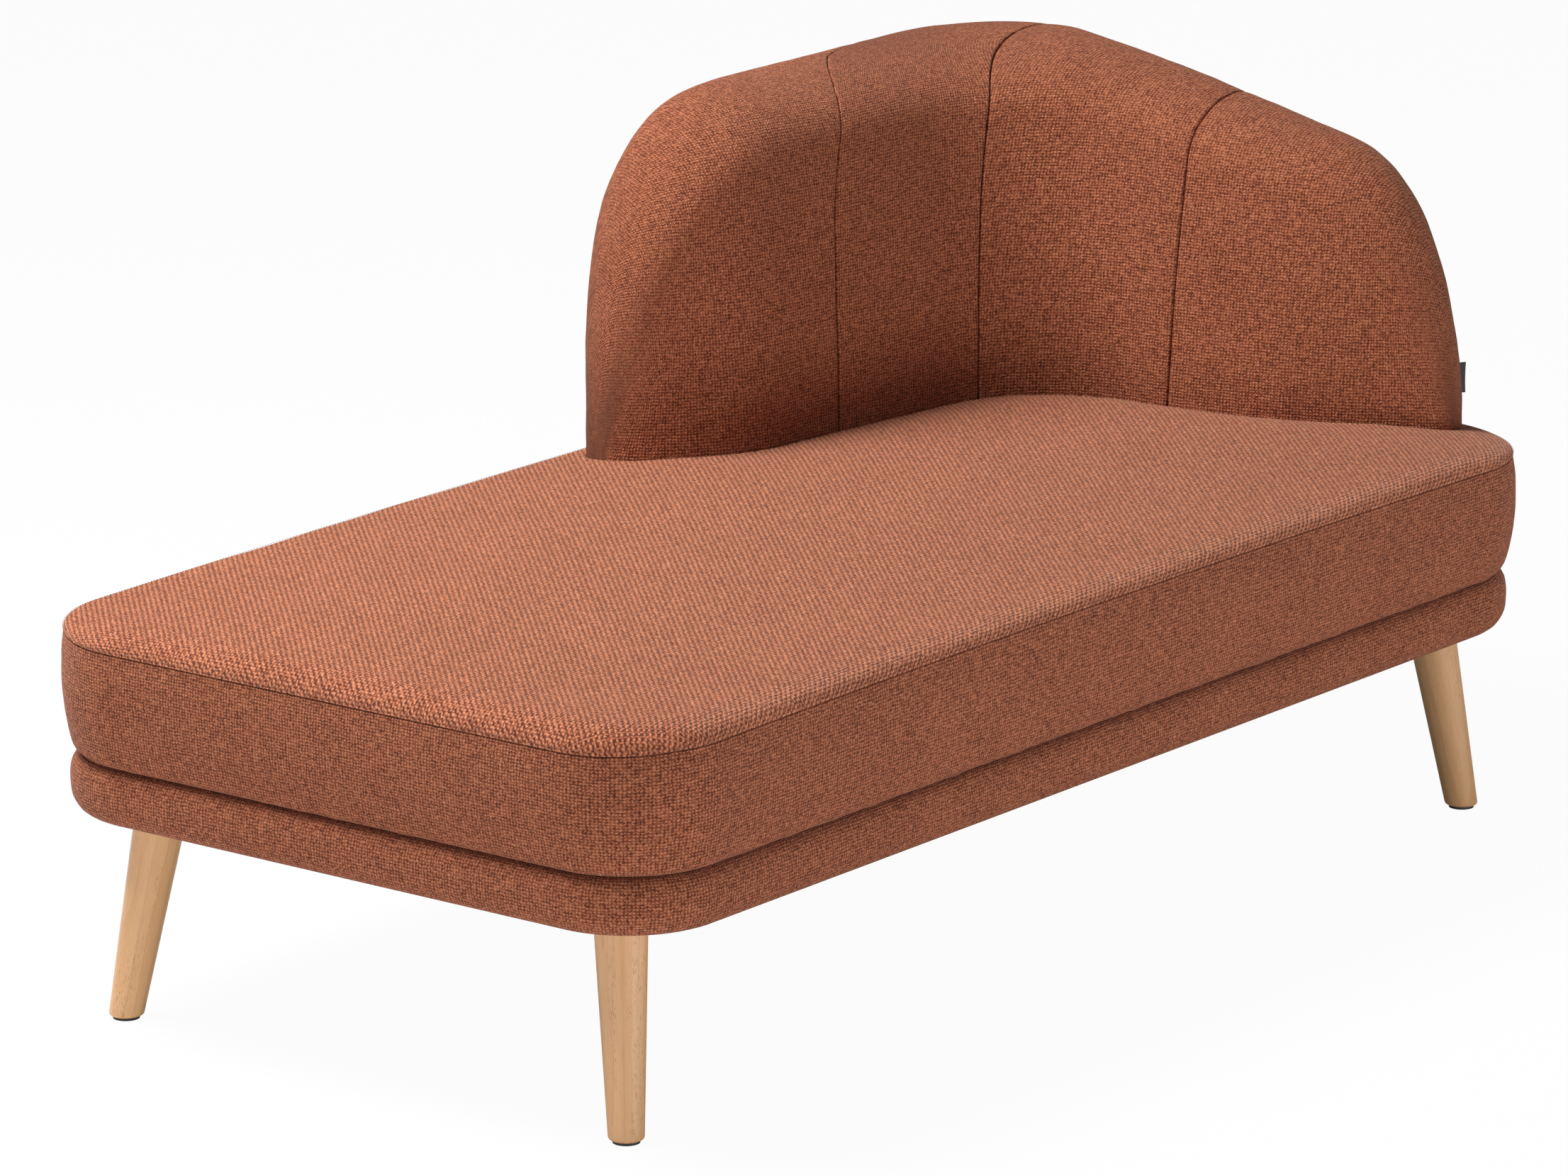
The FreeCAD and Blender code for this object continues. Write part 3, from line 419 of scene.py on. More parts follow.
class BackForm:
    """Upright sections of the back along its spine: rear part, corner as a fan, head part."""

    def __init__(self, seat, sizes):
        self.sizes = sizes
        self.half = (seat.length / 2, seat.width / 2)
        self.foot_radius = seat.corner - sizes.inset
        self.x = self.half[0] - sizes.inset
        self.y = self.half[1] - sizes.inset
        self.fan_x = self.x - sizes.head - sizes.inner_corner
        self.fan_y = self.y - sizes.turn - sizes.inner_corner
        self.fan = sizes.inner_corner * math.pi / 2
        self.end = self.fan_x + self.fan + self.fan_y - sizes.head_tip
        self.places = self.spine_places()
        pairs = [self.section(place) for place in self.places]
        self.inner = np.array([pair[0] for pair in pairs])
        self.outer = np.array([pair[1] for pair in pairs])

    def spine_places(self, closest=1.2 * MM, fine_run=60 * MM, step=3.5 * MM):
        """Places of the sections, close together towards the wing tips."""
        near = np.geomspace(closest, fine_run, 26)
        start = self.sizes.rear_tip + near
        finish = self.end - near[::-1]
        middle = np.arange(start[-1] + 3 * MM, finish[0] - 1 * MM, step)
        return np.concatenate([start, middle, finish])

    def reach(self, foot, way, inset, radius):
        """Distance from a foot point along a direction to the rounded outline."""
        far = (self.half[0] - inset, self.half[1] - inset)
        found = []
        for axis in (0, 1):
            if way[axis] > 1e-9:
                run = (far[axis] - foot[axis]) / way[axis]
                if foot[1 - axis] + run * way[1 - axis] <= far[1 - axis] - radius + 1e-9:
                    found.append(run)
        if found:
            return min(found)
        from_centre = (foot[0] - far[0] + radius, foot[1] - far[1] + radius)
        along = from_centre[0] * way[0] + from_centre[1] * way[1]
        return -along + math.sqrt(along ** 2 - from_centre[0] ** 2 - from_centre[1] ** 2
                                  + radius ** 2)

    def head_top(self, y):
        """Height of the crest along the head part, before the round of the tip."""
        run = max(0.0, self.sizes.fall_start - y) / self.sizes.fall_run
        return self.sizes.height - self.sizes.top_fall * run ** 1.15

    def trimmed(self, run, depth=0.55):
        """How far the outer corner of a wing is rounded off, a run past where that starts."""
        share = min(max(run / self.sizes.tip_round, 0.0), 1.0)
        return depth * self.sizes.tip_round * (1 - math.sqrt(1 - share ** 2))

    def station(self, place):
        """Foot point, direction outward, runs to foot, face and ridge, and top height."""
        b = self.sizes
        trim = 0.0
        if place < self.fan_x:
            way = (0.0, 1.0)
            run = place - b.rear_tip
            grow = max(0.0, run - b.rear_taper) / (self.fan_x - b.rear_tip - b.rear_taper)
            width = b.rear * swelling(run / b.rear_taper, 2, 2) + (b.turn - b.rear) * grow
            top = b.base + (b.height - b.base) * swelling(run / b.rear_rise, 3.5, 2)
            trim = self.trimmed(b.tip_round - run)
            foot = (place, self.y - width - trim)
        elif place <= self.fan_x + self.fan:
            angle = math.pi / 2 * (1 - (place - self.fan_x) / self.fan)
            way = (math.cos(angle), math.sin(angle))
            foot = (self.fan_x + b.inner_corner * way[0], self.fan_y + b.inner_corner * way[1])
            ridge = self.reach(foot, way, b.inset + b.outer_roll, b.ridge_corner)
            top = self.head_top(foot[1] + ridge * way[1])
        else:
            way = (1.0, 0.0)
            y = self.fan_y - (place - self.fan_x - self.fan)
            run = y - b.head_tip
            width = b.head * swelling(run / b.head_taper, 1.6, 2)
            top = b.base + (self.head_top(y) - b.base) * swelling(run / b.head_rise, 2.6, 1.4)
            trim = self.trimmed(b.tip_round - run)
            foot = (self.x - width - trim, y)
        low = self.reach(foot, way, b.inset, self.foot_radius) - trim
        high = self.reach(foot, way, b.inset, b.top_corner) - trim
        ridge = self.reach(foot, way, b.inset + b.outer_roll, b.ridge_corner) - trim
        return foot, way, low, high, max(ridge, 0.6 * low), top

    def section(self, place):
        """Inner line from the foot over the ridge to the joint, and outer line from there down."""
        foot, way, low, high, ridge, top = self.station(place)
        b = self.sizes
        rise = top - b.base
        outer_roll = min(b.outer_roll_height, 0.5 * rise)
        inner_roll = min(b.inner_roll_height, 0.55 * rise)
        lean = min(b.lean * (rise - inner_roll), 0.25 * ridge)
        swell = min(b.swell, 0.03 * ridge)
        share = np.linspace(0, 1, 50)
        turn = share * math.pi / 2
        face = np.column_stack([lean * share - 4 * swell * share * (1 - share),
                                b.base + (rise - inner_roll) * share])
        roll = np.column_stack([ridge - (ridge - lean) * np.cos(turn),
                                top - inner_roll + inner_roll * np.sin(turn)])
        over = np.column_stack([ridge + (high - ridge) * np.sin(turn),
                                top - outer_roll + outer_roll * np.cos(turn)])
        down = np.column_stack([high + (low - high) * share,
                                (top - outer_roll) + (b.base - top + outer_roll) * share])
        line = smoothed(np.concatenate([face, roll[1:], over[1:], down[1:]]),
                        min(1.5 * MM, rise / 60), min(5 * MM, rise / 25))
        joint = over[int(JOINT_SHARE * len(over))]
        split = int(np.argmin(np.linalg.norm(line - joint, axis=1)))
        inner_run = 430 * MM
        shares = seam_spacing(inner_run, False, True, inner_run / b.rows)
        placed = []
        for part, spacing in ((line[:split + 1], shares), (line[split:], 1 - shares[::-1])):
            out, height = along_line(part, spacing).T
            placed.append(np.column_stack([foot[0] + out * way[0], foot[1] + out * way[1], height]))
        return placed

    def take(self, table, places):
        """Points of a table at places along the spine, one place for each row and column."""
        return np.stack([at_runs(table[:, row], self.places, places[:, row])
                         for row in range(table.shape[1])], 1)

    def footprint(self, gap):
        """Plan outline of the back at its foot, drawn a gap larger."""
        inner, outer = [], []
        for place in np.concatenate([self.places[4:-4:3], self.places[-4:]]):
            foot, way, low = self.station(place)[:3]
            inner.append((foot[0] - gap * way[0], foot[1] - gap * way[1]))
            outer.append((foot[0] + (low + gap) * way[0], foot[1] + (low + gap) * way[1]))
        return np.array(inner), np.array(outer)


def seam_places(rise, foot, lean=0.0, sweep=0.0, power=1, top=math.inf):
    """Places along the spine of a seam, for heights as shares of the height to the crest."""
    rise = np.minimum(rise, top)
    return foot + lean * rise + sweep * rise ** power


def grid_normals(points):
    """Outward normals of a grid of points, columns first."""
    normal = np.cross(np.gradient(points, axis=0), np.gradient(points, axis=1))
    return normal / np.maximum(np.linalg.norm(normal, axis=2), 1e-12)[..., None]


def grid_faces(count, rows, start=0):
    """Faces of a grid of points, columns first."""
    return [(start + i * rows + j, start + (i + 1) * rows + j,
             start + (i + 1) * rows + j + 1, start + i * rows + j + 1)
            for i in range(count - 1) for j in range(rows - 1)]


def grid_surface_map(points, middle):
    """Length along each row from the middle column, and along each column from its foot."""
    across = np.linalg.norm(np.diff(points, axis=0), axis=2)
    run = np.concatenate([np.zeros((1, points.shape[1])), np.cumsum(across, axis=0)])
    run -= run[middle]
    up = np.linalg.norm(np.diff(points, axis=1), axis=2)
    rise = np.concatenate([np.zeros((points.shape[0], 1)), np.cumsum(up, axis=1)], axis=1)
    return np.stack([run, rise], 2)


def sheet_normals(points, faces):
    """Normals at the points of a sheet, from the faces round each."""
    faces = np.array(faces)
    corners = points[faces]
    normal = np.cross(corners[:, 2] - corners[:, 0], corners[:, 3] - corners[:, 1])
    normals = np.zeros_like(points)
    for place in range(4):
        np.add.at(normals, faces[:, place], normal)
    return normals / np.maximum(np.linalg.norm(normals, axis=1), 1e-12)[:, None]


def thickened(points, faces, depth, surface, taut=None):
    """Closed shell: the sheet, a copy of the taut sheet inward by depth, and walls between."""
    taut = points if taut is None else taut
    count = len(points)
    inside = taut - sheet_normals(taut, faces) * depth[:, None]
    edges = {(i, j) for face in faces for i, j in zip(face, face[1:] + face[:1])}
    walls = [(j, i, i + count, j + count) for face in faces
             for i, j in zip(face, face[1:] + face[:1]) if (j, i) not in edges]
    back = [tuple(index + count for index in reversed(face)) for face in faces]
    shell = faces + back + walls
    both = np.concatenate([surface, surface])
    corner_uv = [tuple(both[index]) for face in shell for index in face]
    return np.concatenate([points, inside]), shell, corner_uv


def welded(points, faces, surface, taut):
    """Points that share a place become one, before a sheet gets its thickness."""
    keys, first, index = {}, [], np.zeros(len(points), int)
    for number, point in enumerate(np.round(points / WELD).astype(int)):
        key = tuple(point)
        if key not in keys:
            keys[key] = len(first)
            first.append(number)
        index[number] = keys[key]
    merged = [tuple(int(index[i]) for i in face) for face in faces]
    whole = [face for face in merged if len(set(face)) == 4]
    return points[first], whole, surface[first], taut[first]


def fill_socket(tree, socket, value):
    """Give a socket a link or a plain value."""
    if isinstance(value, bpy.types.NodeSocket):
        tree.links.new(value, socket)
    else:
        socket.default_value = value


def add(tree, kind, inputs=None, output=0, **settings):
    """One node: settings on it, values or links on its inputs, and the asked output back."""
    node = tree.nodes.new(kind)
    for name, value in settings.items():
        setattr(node, name, value)
    for name, value in (inputs or {}).items():
        fill_socket(tree, node.inputs[name], value)
    return node.outputs[output]


def math_node(tree, operation, *values, clamp=False):
    """Sum, product or other step on one to three values."""
    return add(tree, "ShaderNodeMath", dict(enumerate(values)), operation=operation,
               use_clamp=clamp)


def weighted(tree, total, part, weight, middle=0.0):
    """A total with a weighted part added, counted from the part's middle."""
    if middle:
        part = math_node(tree, "SUBTRACT", part, middle)
    return math_node(tree, "MULTIPLY_ADD", part, weight, total)


def wave(tree, turns):
    """Smooth wave between 0 and 1, one for each turn."""
    cosine = math_node(tree, "COSINE", math_node(tree, "MULTIPLY", turns, math.tau))
    return math_node(tree, "MULTIPLY_ADD", cosine, 0.5, 0.5)


def noise_node(tree, vector, scale, detail=2.0):
    """Soft random pattern."""
    return add(tree, "ShaderNodeTexNoise", {"Vector": vector, "Scale": scale, "Detail": detail})


def parted(tree, vector):
    """The three coordinates of a place."""
    node = tree.nodes.new("ShaderNodeSeparateXYZ")
    tree.links.new(vector, node.inputs[0])
    return node.outputs


def joined(tree, x, y, z=0.0):
    """A place from its coordinates."""
    return add(tree, "ShaderNodeCombineXYZ", {"X": x, "Y": y, "Z": z})


def stretched(tree, places, scales, layer=0.0):
    """A place whose two or three coordinates each have their own scale."""
    scaled = [math_node(tree, "MULTIPLY", place, scale) for place, scale in zip(places, scales)]
    return joined(tree, *(scaled + [layer])[:3])


def mixed(tree, factor, one, two):
    """Blend of two colours."""
    node = tree.nodes.new("ShaderNodeMix")
    node.data_type = "RGBA"
    for place, value in ((0, factor), (6, one), (7, two)):
        fill_socket(tree, node.inputs[place], value)
    return node.outputs[2]


def spread(tree, value, low, high):
    """A value taken from between low and high to between 0 and 1."""
    return add(tree, "ShaderNodeMapRange", {"Value": value, "From Min": low, "From Max": high},
               clamp=True)


def group_tree(name, inputs, outputs):
    """Empty shader group with named sockets; gives the tree, its inputs and its outputs."""
    tree = bpy.data.node_groups.new(name, "ShaderNodeTree")
    for label, kind, default in inputs:
        socket = tree.interface.new_socket(name=label, in_out="INPUT", socket_type=kind)
        if default is not None:
            socket.default_value = default
    for label, kind in outputs:
        tree.interface.new_socket(name=label, in_out="OUTPUT", socket_type=kind)
    source = tree.nodes.new("NodeGroupInput")
    sink = tree.nodes.new("NodeGroupOutput")
    return tree, source.outputs, sink.inputs


def weave_group(colours):
    """Woven cloth: crossings, slubs both ways, melange of yarns, optional diagonal ribs; crossings
    and ribs also shade the colour, painted shade of their relief.
    """
    tree, given, out = group_tree("Woven Cloth", [
        ("Surface", "NodeSocketVector", None), ("Cell Across", "NodeSocketFloat", 3.45 * MM),
        ("Cell Up", "NodeSocketFloat", 3.15 * MM), ("Rib Repeat", "NodeSocketFloat", 7.33 * MM),
        ("Rib", "NodeSocketFloat", 0.0), ("Slub", "NodeSocketFloat", 1.0),
        ("Ground", "NodeSocketColor", tuple(colours.ground)),
        ("Light", "NodeSocketColor", tuple(colours.light)),
        ("Dark", "NodeSocketColor", tuple(colours.dark))],
        [("Colour", "NodeSocketColor"), ("Height", "NodeSocketFloat")])
    flat = parted(tree, given["Surface"])[:2]
    wander, along_yarn, over_yarn = 1.2 * MM, 90.0, 620.0
    push = tree.nodes.new("ShaderNodeSeparateColor")
    tree.links.new(add(tree, "ShaderNodeTexNoise", {"Vector": given["Surface"], "Scale": 170.0,
                                                    "Detail": 1.0}, output="Color"), push.inputs[0])
    bent = []
    for axis, place in enumerate(flat):
        moved = math_node(tree, "MULTIPLY_ADD", push.outputs[axis], 2 * wander, -wander)
        bent.append(math_node(tree, "ADD", place, moved))
    cells = [math_node(tree, "DIVIDE", place, given[pitch])
             for place, pitch in zip(bent, ("Cell Across", "Cell Up"))]
    crossing = math_node(tree, "MULTIPLY", *[wave(tree, cell) for cell in cells])
    rib = wave(tree, math_node(tree, "DIVIDE", math_node(tree, "SUBTRACT", *bent),
                               given["Rib Repeat"]))
    halves = [math_node(tree, "FLOOR", math_node(tree, "MULTIPLY", cell, 2.0)) for cell in cells]
    yarn = add(tree, "ShaderNodeTexWhiteNoise", {"Vector": joined(tree, *halves)},
               noise_dimensions="2D")
    slub_across = noise_node(tree, stretched(tree, flat, (along_yarn, over_yarn)), 1.0)
    slub_up = noise_node(tree, stretched(tree, flat, (over_yarn, along_yarn), 7.0), 1.0)
    cloud = noise_node(tree, given["Surface"], 9.0, 3.0)
    tone = weighted(tree, 0.5, yarn, 0.42, 0.5)
    # Crossings and ribs go into the colour as well as the height: raised yarn lighter and hollows
    # darker, which is painted shade.
    for part, weight, middle in ((slub_across, given["Slub"], 0.5), (slub_up, given["Slub"], 0.5),
                                 (crossing, 0.50, 0.25), (cloud, 0.12, 0.5),
                                 (rib, given["Rib"], 0.5)):
        tone = weighted(tree, tone, part, weight, middle)
    shaded = mixed(tree, spread(tree, tone, 0.20, 0.52), given["Dark"], given["Ground"])
    shaded = mixed(tree, spread(tree, tone, 0.50, 0.90), shaded, given["Light"])
    fleck = spread(tree, noise_node(tree, stretched(tree, flat, (420.0, 520.0), 3.0), 1.0, 1.0),
                   0.62, 0.74)
    shaded = mixed(tree, math_node(tree, "MULTIPLY", fleck, 0.40), shaded, given["Dark"])
    tree.links.new(shaded, out["Colour"])
    height = weighted(tree, crossing, yarn, 0.25, 0.5)
    for part, weight in ((slub_across, 0.5), (slub_up, 0.5),
                         (math_node(tree, "MULTIPLY", rib, given["Rib"]), 1.6)):
        height = weighted(tree, height, part, weight)
    tree.links.new(height, out["Height"])
    return tree


def grain_group(colours):
    """Wood cut along its grain: soft rings, fine fibre and short open pores."""
    tree, given, out = group_tree("Wood Grain", [
        ("Place", "NodeSocketVector", None), ("Ring", "NodeSocketFloat", 9 * MM),
        ("Pores", "NodeSocketFloat", 1.0), ("Pale", "NodeSocketColor", tuple(colours.leg)),
        ("Deep", "NodeSocketColor", tuple(colours.leg_grain))],
        [("Colour", "NodeSocketColor"), ("Height", "NodeSocketFloat")])
    place = parted(tree, given["Place"])
    slow = stretched(tree, place, (30.0, 30.0, 3.2))
    pith = (31 * MM, 17 * MM)
    aside = joined(tree, *[math_node(tree, "ADD", axis, shift) for axis, shift in zip(place, pith)])
    from_pith = add(tree, "ShaderNodeVectorMath", {0: aside}, output="Value", operation="LENGTH")
    turns = math_node(tree, "ADD", math_node(tree, "DIVIDE", from_pith, given["Ring"]),
                      math_node(tree, "MULTIPLY", noise_node(tree, slow, 1.0, 2.0), 2.2))
    ring = math_node(tree, "POWER", math_node(tree, "FRACT", turns), 2.2)
    fibre = noise_node(tree, stretched(tree, place, (900.0, 900.0, 22.0)), 1.0, 3.0)
    pore = noise_node(tree, stretched(tree, place, (1300.0, 1300.0, 190.0)), 1.0, 1.0)
    band = spread(tree, noise_node(tree, slow, 1.7, 1.0), 0.46, 0.60)
    pores = math_node(tree, "MULTIPLY", spread(tree, pore, 0.60, 0.70), band)
    pores = math_node(tree, "MULTIPLY", pores, given["Pores"])
    fine = math_node(tree, "MULTIPLY", math_node(tree, "SUBTRACT", fibre, 0.40), 0.9)
    tone = math_node(tree, "ADD", math_node(tree, "MULTIPLY", ring, 0.30), fine, clamp=True)
    shaded = mixed(tree, tone, given["Pale"], given["Deep"])
    deeper = add(tree, "ShaderNodeHueSaturation",
                 {"Value": 0.62, "Saturation": 1.08, "Color": given["Deep"]})
    shaded = mixed(tree, math_node(tree, "MULTIPLY", pores, 0.75), shaded, deeper)
    tree.links.new(shaded, out["Colour"])
    height = math_node(tree, "SUBTRACT", math_node(tree, "MULTIPLY", fibre, 0.4), pores)
    tree.links.new(height, out["Height"])
    return tree


def material(name):
    """Empty node material; gives it, its tree and its surface shader."""
    made = bpy.data.materials.new(name)
    made.use_nodes = True
    tree = made.node_tree
    return made, tree, tree.nodes["Principled BSDF"]


def bumped(tree, height, distance, strength=1.0):
    """Normal of a fine relief."""
    return add(tree, "ShaderNodeBump",
               {"Height": height, "Distance": distance, "Strength": strength})


def grouped(tree, group, inputs):
    """A shader group placed in a material, with its own values; gives its outputs."""
    node = tree.nodes.new("ShaderNodeGroup")
    node.node_tree = group
    for name, value in inputs.items():
        fill_socket(tree, node.inputs[name], value)
    return node.outputs


def upholstery(group, colours, name, painted_light_lift, rib, slub, cell_up, height, sheen):
    """Woven cloth on a piece's own surface map; the lift makes all its yarns lighter, which is
    painted light on a lighter copy of the same cloth.
    """
    made, tree, shader = material(name)
    yarns = {label: tuple(min(1.0, part * painted_light_lift) for part in shade[:3]) + (1.0,)
             for label, shade in (("Ground", colours.ground), ("Light", colours.light),
                                  ("Dark", colours.dark))}
    surface = add(tree, "ShaderNodeUVMap", uv_map="cloth")
    weave = grouped(tree, group, {"Surface": surface, "Rib": rib, "Slub": slub,
                                  "Cell Up": cell_up, **yarns})
    tree.links.new(weave["Colour"], shader.inputs["Base Color"])
    tree.links.new(bumped(tree, weave["Height"], height), shader.inputs["Normal"])
    for label, value in (("Roughness", 0.92), ("Specular IOR Level", 0.25),
                         ("Sheen Weight", sheen), ("Sheen Roughness", 0.45),
                         ("Sheen Tint", (1.0, 0.72, 0.56, 1))):
        shader.inputs[label].default_value = value
    return made


def grained(group, name, pale, deep, ring, roughness, pores=1.0, attribute=None):
    """Wood whose grain follows an attribute of the piece, or else its long axis."""
    made, tree, shader = material(name)
    if attribute:
        place = add(tree, "ShaderNodeAttribute", output="Vector", attribute_name=attribute)
    else:
        place = add(tree, "ShaderNodeMapping",
                    {"Vector": add(tree, "ShaderNodeTexCoord", output="Object"),
                     "Rotation": (0.0, math.pi / 2, 0.0)})
    wood = grouped(tree, group, {"Place": place, "Pale": pale, "Deep": deep, "Ring": ring,
                                 "Pores": pores})
    tree.links.new(wood["Colour"], shader.inputs["Base Color"])
    tree.links.new(bumped(tree, wood["Height"], 0.12 * MM, 0.6), shader.inputs["Normal"])
    shader.inputs["Roughness"].default_value = roughness
    return made


def speckled(name, one, two, scale, roughness, depth, metallic=0.0, stretch=(1, 1, 1)):
    """Finish from Object coordinates: two colours in a fine random grain, with its height."""
    made, tree, shader = material(name)
    place = add(tree, "ShaderNodeMapping",
                {"Vector": add(tree, "ShaderNodeTexCoord", output="Object"), "Scale": stretch})
    grain = noise_node(tree, place, scale, 3.0)
    uneven = add(tree, "ShaderNodeMapRange", {"Value": grain, "To Min": roughness - 0.08,
                                              "To Max": roughness + 0.08})
    tree.links.new(mixed(tree, spread(tree, grain, 0.35, 0.65), one, two),
                   shader.inputs["Base Color"])
    tree.links.new(bumped(tree, grain, depth, 0.7), shader.inputs["Normal"])
    tree.links.new(uneven, shader.inputs["Roughness"])
    shader.inputs["Metallic"].default_value = metallic
    return made


def make_finishes(colours):
    """Every material, kept under the name of its slot."""
    weave = weave_group(colours)
    wood = grain_group(colours)
    for slot, cloth in CLOTHS.items():
        FINISHES[slot] = upholstery(weave, colours, **cloth)
    FINISHES["leg_wood"] = grained(wood, "clear_lacquered_leg_wood", tuple(colours.leg),
                                   tuple(colours.leg_grain), 9 * MM, 0.42, attribute="grain")
    for slot, look in FRAME_WOODS.items():
        FINISHES[slot] = grained(wood, **look)
    for slot, look in SPECKLED.items():
        FINISHES[slot] = speckled(**look)


def path_tree():
    """Geometry nodes that set a small stitch or staple along a path, lying along it."""
    tree = bpy.data.node_groups.new("Pieces Along Path", "GeometryNodeTree")
    for label, kind in (("Path", "Geometry"), ("Spacing", "Float"), ("Length", "Float"),
                        ("Thickness", "Float"), ("Finish", "Material")):
        tree.interface.new_socket(name=label, in_out="INPUT", socket_type="NodeSocket" + kind)
    tree.interface.new_socket(name="Pieces", in_out="OUTPUT", socket_type="NodeSocketGeometry")
    given = tree.nodes.new("NodeGroupInput").outputs
    sink = tree.nodes.new("NodeGroupOutput")
    curve = add(tree, "GeometryNodeMeshToCurve", {"Mesh": given["Path"]})
    even = add(tree, "GeometryNodeResampleCurve", {"Curve": curve, "Length": given["Spacing"]},
               mode="LENGTH")
    ball = add(tree, "GeometryNodeMeshUVSphere", {"Segments": 8, "Rings": 6, "Radius": 0.5},
               output="Mesh")
    size = add(tree, "ShaderNodeCombineXYZ", {"X": given["Length"], "Y": given["Thickness"],
                                              "Z": given["Thickness"]})
    shaped = add(tree, "GeometryNodeTransform", {"Geometry": ball, "Scale": size})
    turned = add(tree, "FunctionNodeAlignRotationToVector",
                 {"Vector": add(tree, "GeometryNodeInputTangent")}, axis="X")
    set_out = add(tree, "GeometryNodeInstanceOnPoints",
                  {"Points": even, "Instance": shaped, "Rotation": turned})
    real = add(tree, "GeometryNodeRealizeInstances", {"Geometry": set_out})
    smooth = add(tree, "GeometryNodeSetShadeSmooth", {"Geometry": real})
    done = add(tree, "GeometryNodeSetMaterial", {"Geometry": smooth, "Material": given["Finish"]})
    tree.links.new(done, sink.inputs[0])
    return tree


def pieces_along(name, points, tree, finish, spacing, length, thickness):
    """One plain mesh of small pieces set along a closed path."""
    mesh = bpy.data.meshes.new(name + "_path")
    count = len(points)
    edges = [(i, (i + 1) % count) for i in range(count)]
    mesh.from_pydata([tuple(p) for p in points], edges, [])
    path = linked(name + "_path", mesh)
    modifier = path.modifiers.new("pieces", "NODES")
    modifier.node_group = tree
    values = {"Spacing": spacing, "Length": length, "Thickness": thickness, "Finish": finish}
    for item in tree.interface.items_tree:
        if item.name in values:
            modifier[item.identifier] = values[item.name]
    evaluated = path.evaluated_get(bpy.context.evaluated_depsgraph_get())
    made = linked(name, bpy.data.meshes.new_from_object(evaluated))
    bpy.data.objects.remove(path)
    return made


def boxing_loop(seat):
    """Closed profile of the boxing: tucked at the groove, swelling, turned in at the seam."""
    rise = seat.seam - seat.groove
    swell, tuck, out = seat.swell, seat.groove_depth, seat.seam_reach
    bulge = [(-tuck, 0.4 * MM), (-0.4 * tuck, 1.6 * MM), (0.12 * swell, 7 * MM),
             (0.42 * swell, 0.17 * rise), (0.80 * swell, 0.35 * rise), (0.97 * swell, 0.53 * rise),
             (swell, 0.68 * rise), (0.96 * swell, 0.84 * rise), (out, rise - 3 * MM)]
    bulge = smoothed([(offset, seat.groove + height) for offset, height in bulge], 1 * MM, 4 * MM)
    outer = [tuple(pair) for pair in along_line(bulge, np.linspace(0, 1, 26))]
    edge = [(out - 0.1 * MM, seat.seam - 1.4 * MM), (out - 0.6 * MM, seat.seam - 0.5 * MM),
            (out - 2.2 * MM, seat.seam - 0.2 * MM)]
    inside = [(-20 * MM, seat.seam - 0.35 * MM), (-30 * MM, seat.seam - 30 * MM),
              (-30 * MM, seat.groove + 20 * MM), (-24 * MM, seat.groove + 0.6 * MM)]
    return outer + edge + inside


def band_loop(seat):
    """Closed profile of the padded band: rounded below and above, turned under the rails."""
    bottom, top = seat.band_low, seat.groove
    rise = top - bottom
    sagged = bottom - seat.band_sag
    bulge = [(-26 * MM, sagged + 1.6 * MM), (-12 * MM, sagged), (-3.5 * MM, sagged + 0.07 * rise),
             (2.8 * MM, sagged + 0.29 * rise), (4 * MM, bottom + 0.55 * rise),
             (2.4 * MM, bottom + 0.80 * rise), (-3 * MM, bottom + 0.95 * rise),
             (-seat.groove_depth, top - 0.3 * MM)]
    bulge = smoothed(bulge, 1 * MM, 3 * MM)
    outer = [tuple(pair) for pair in along_line(bulge, np.linspace(0, 1, 22))]
    inside = [(-15 * MM, top - 0.4 * MM), (-19 * MM, top - 3 * MM), (-19.4 * MM, bottom + 4 * MM),
              (-33 * MM, bottom + 2.6 * MM), (-33.4 * MM, bottom + 0.6 * MM)]
    return outer + inside


def shoulder_profile(seat):
    """Top panel from the seam over the rolled edge to the flat, as (offset, height) pairs."""
    lip = 2.2 * MM
    turn = np.linspace(0, math.pi / 2, 18)
    power = 2 / 2.3
    offset = seat.seam_reach - seat.shoulder_reach * (1 - np.cos(turn) ** power)
    height = seat.seam + lip + (seat.shoulder - lip) * np.sin(turn) ** power
    return list(zip(offset, height))


def wall_ways(plan, loop):
    """Level directions outward at every point of a swept piece."""
    around = np.tile(plan.ways, (len(loop), 1))
    return np.column_stack([around, np.zeros(len(around))])


class ChaisePiece:
    """What the operators share: their menu behaviour and the sizes they read."""

    bl_options = {"REGISTER", "UNDO"}

    @property
    def seat(self):
        return bpy.context.scene.chaise_seat

    @property
    def back(self):
        return bpy.context.scene.chaise_back

    @property
    def plan(self):
        return Plan(self.seat)

    def form(self):
        """The back's sections for the present sizes."""
        return BackForm(self.seat, self.back)


class CHAISE_OT_finishes(ChaisePiece, bpy.types.Operator):
    """Make the cloths, woods, metals and plastics"""

    bl_idname = "chaise.finishes"
    bl_label = "Finishes"

    def execute(self, context):
        make_finishes(context.scene.chaise_colours)
        return {"FINISHED"}


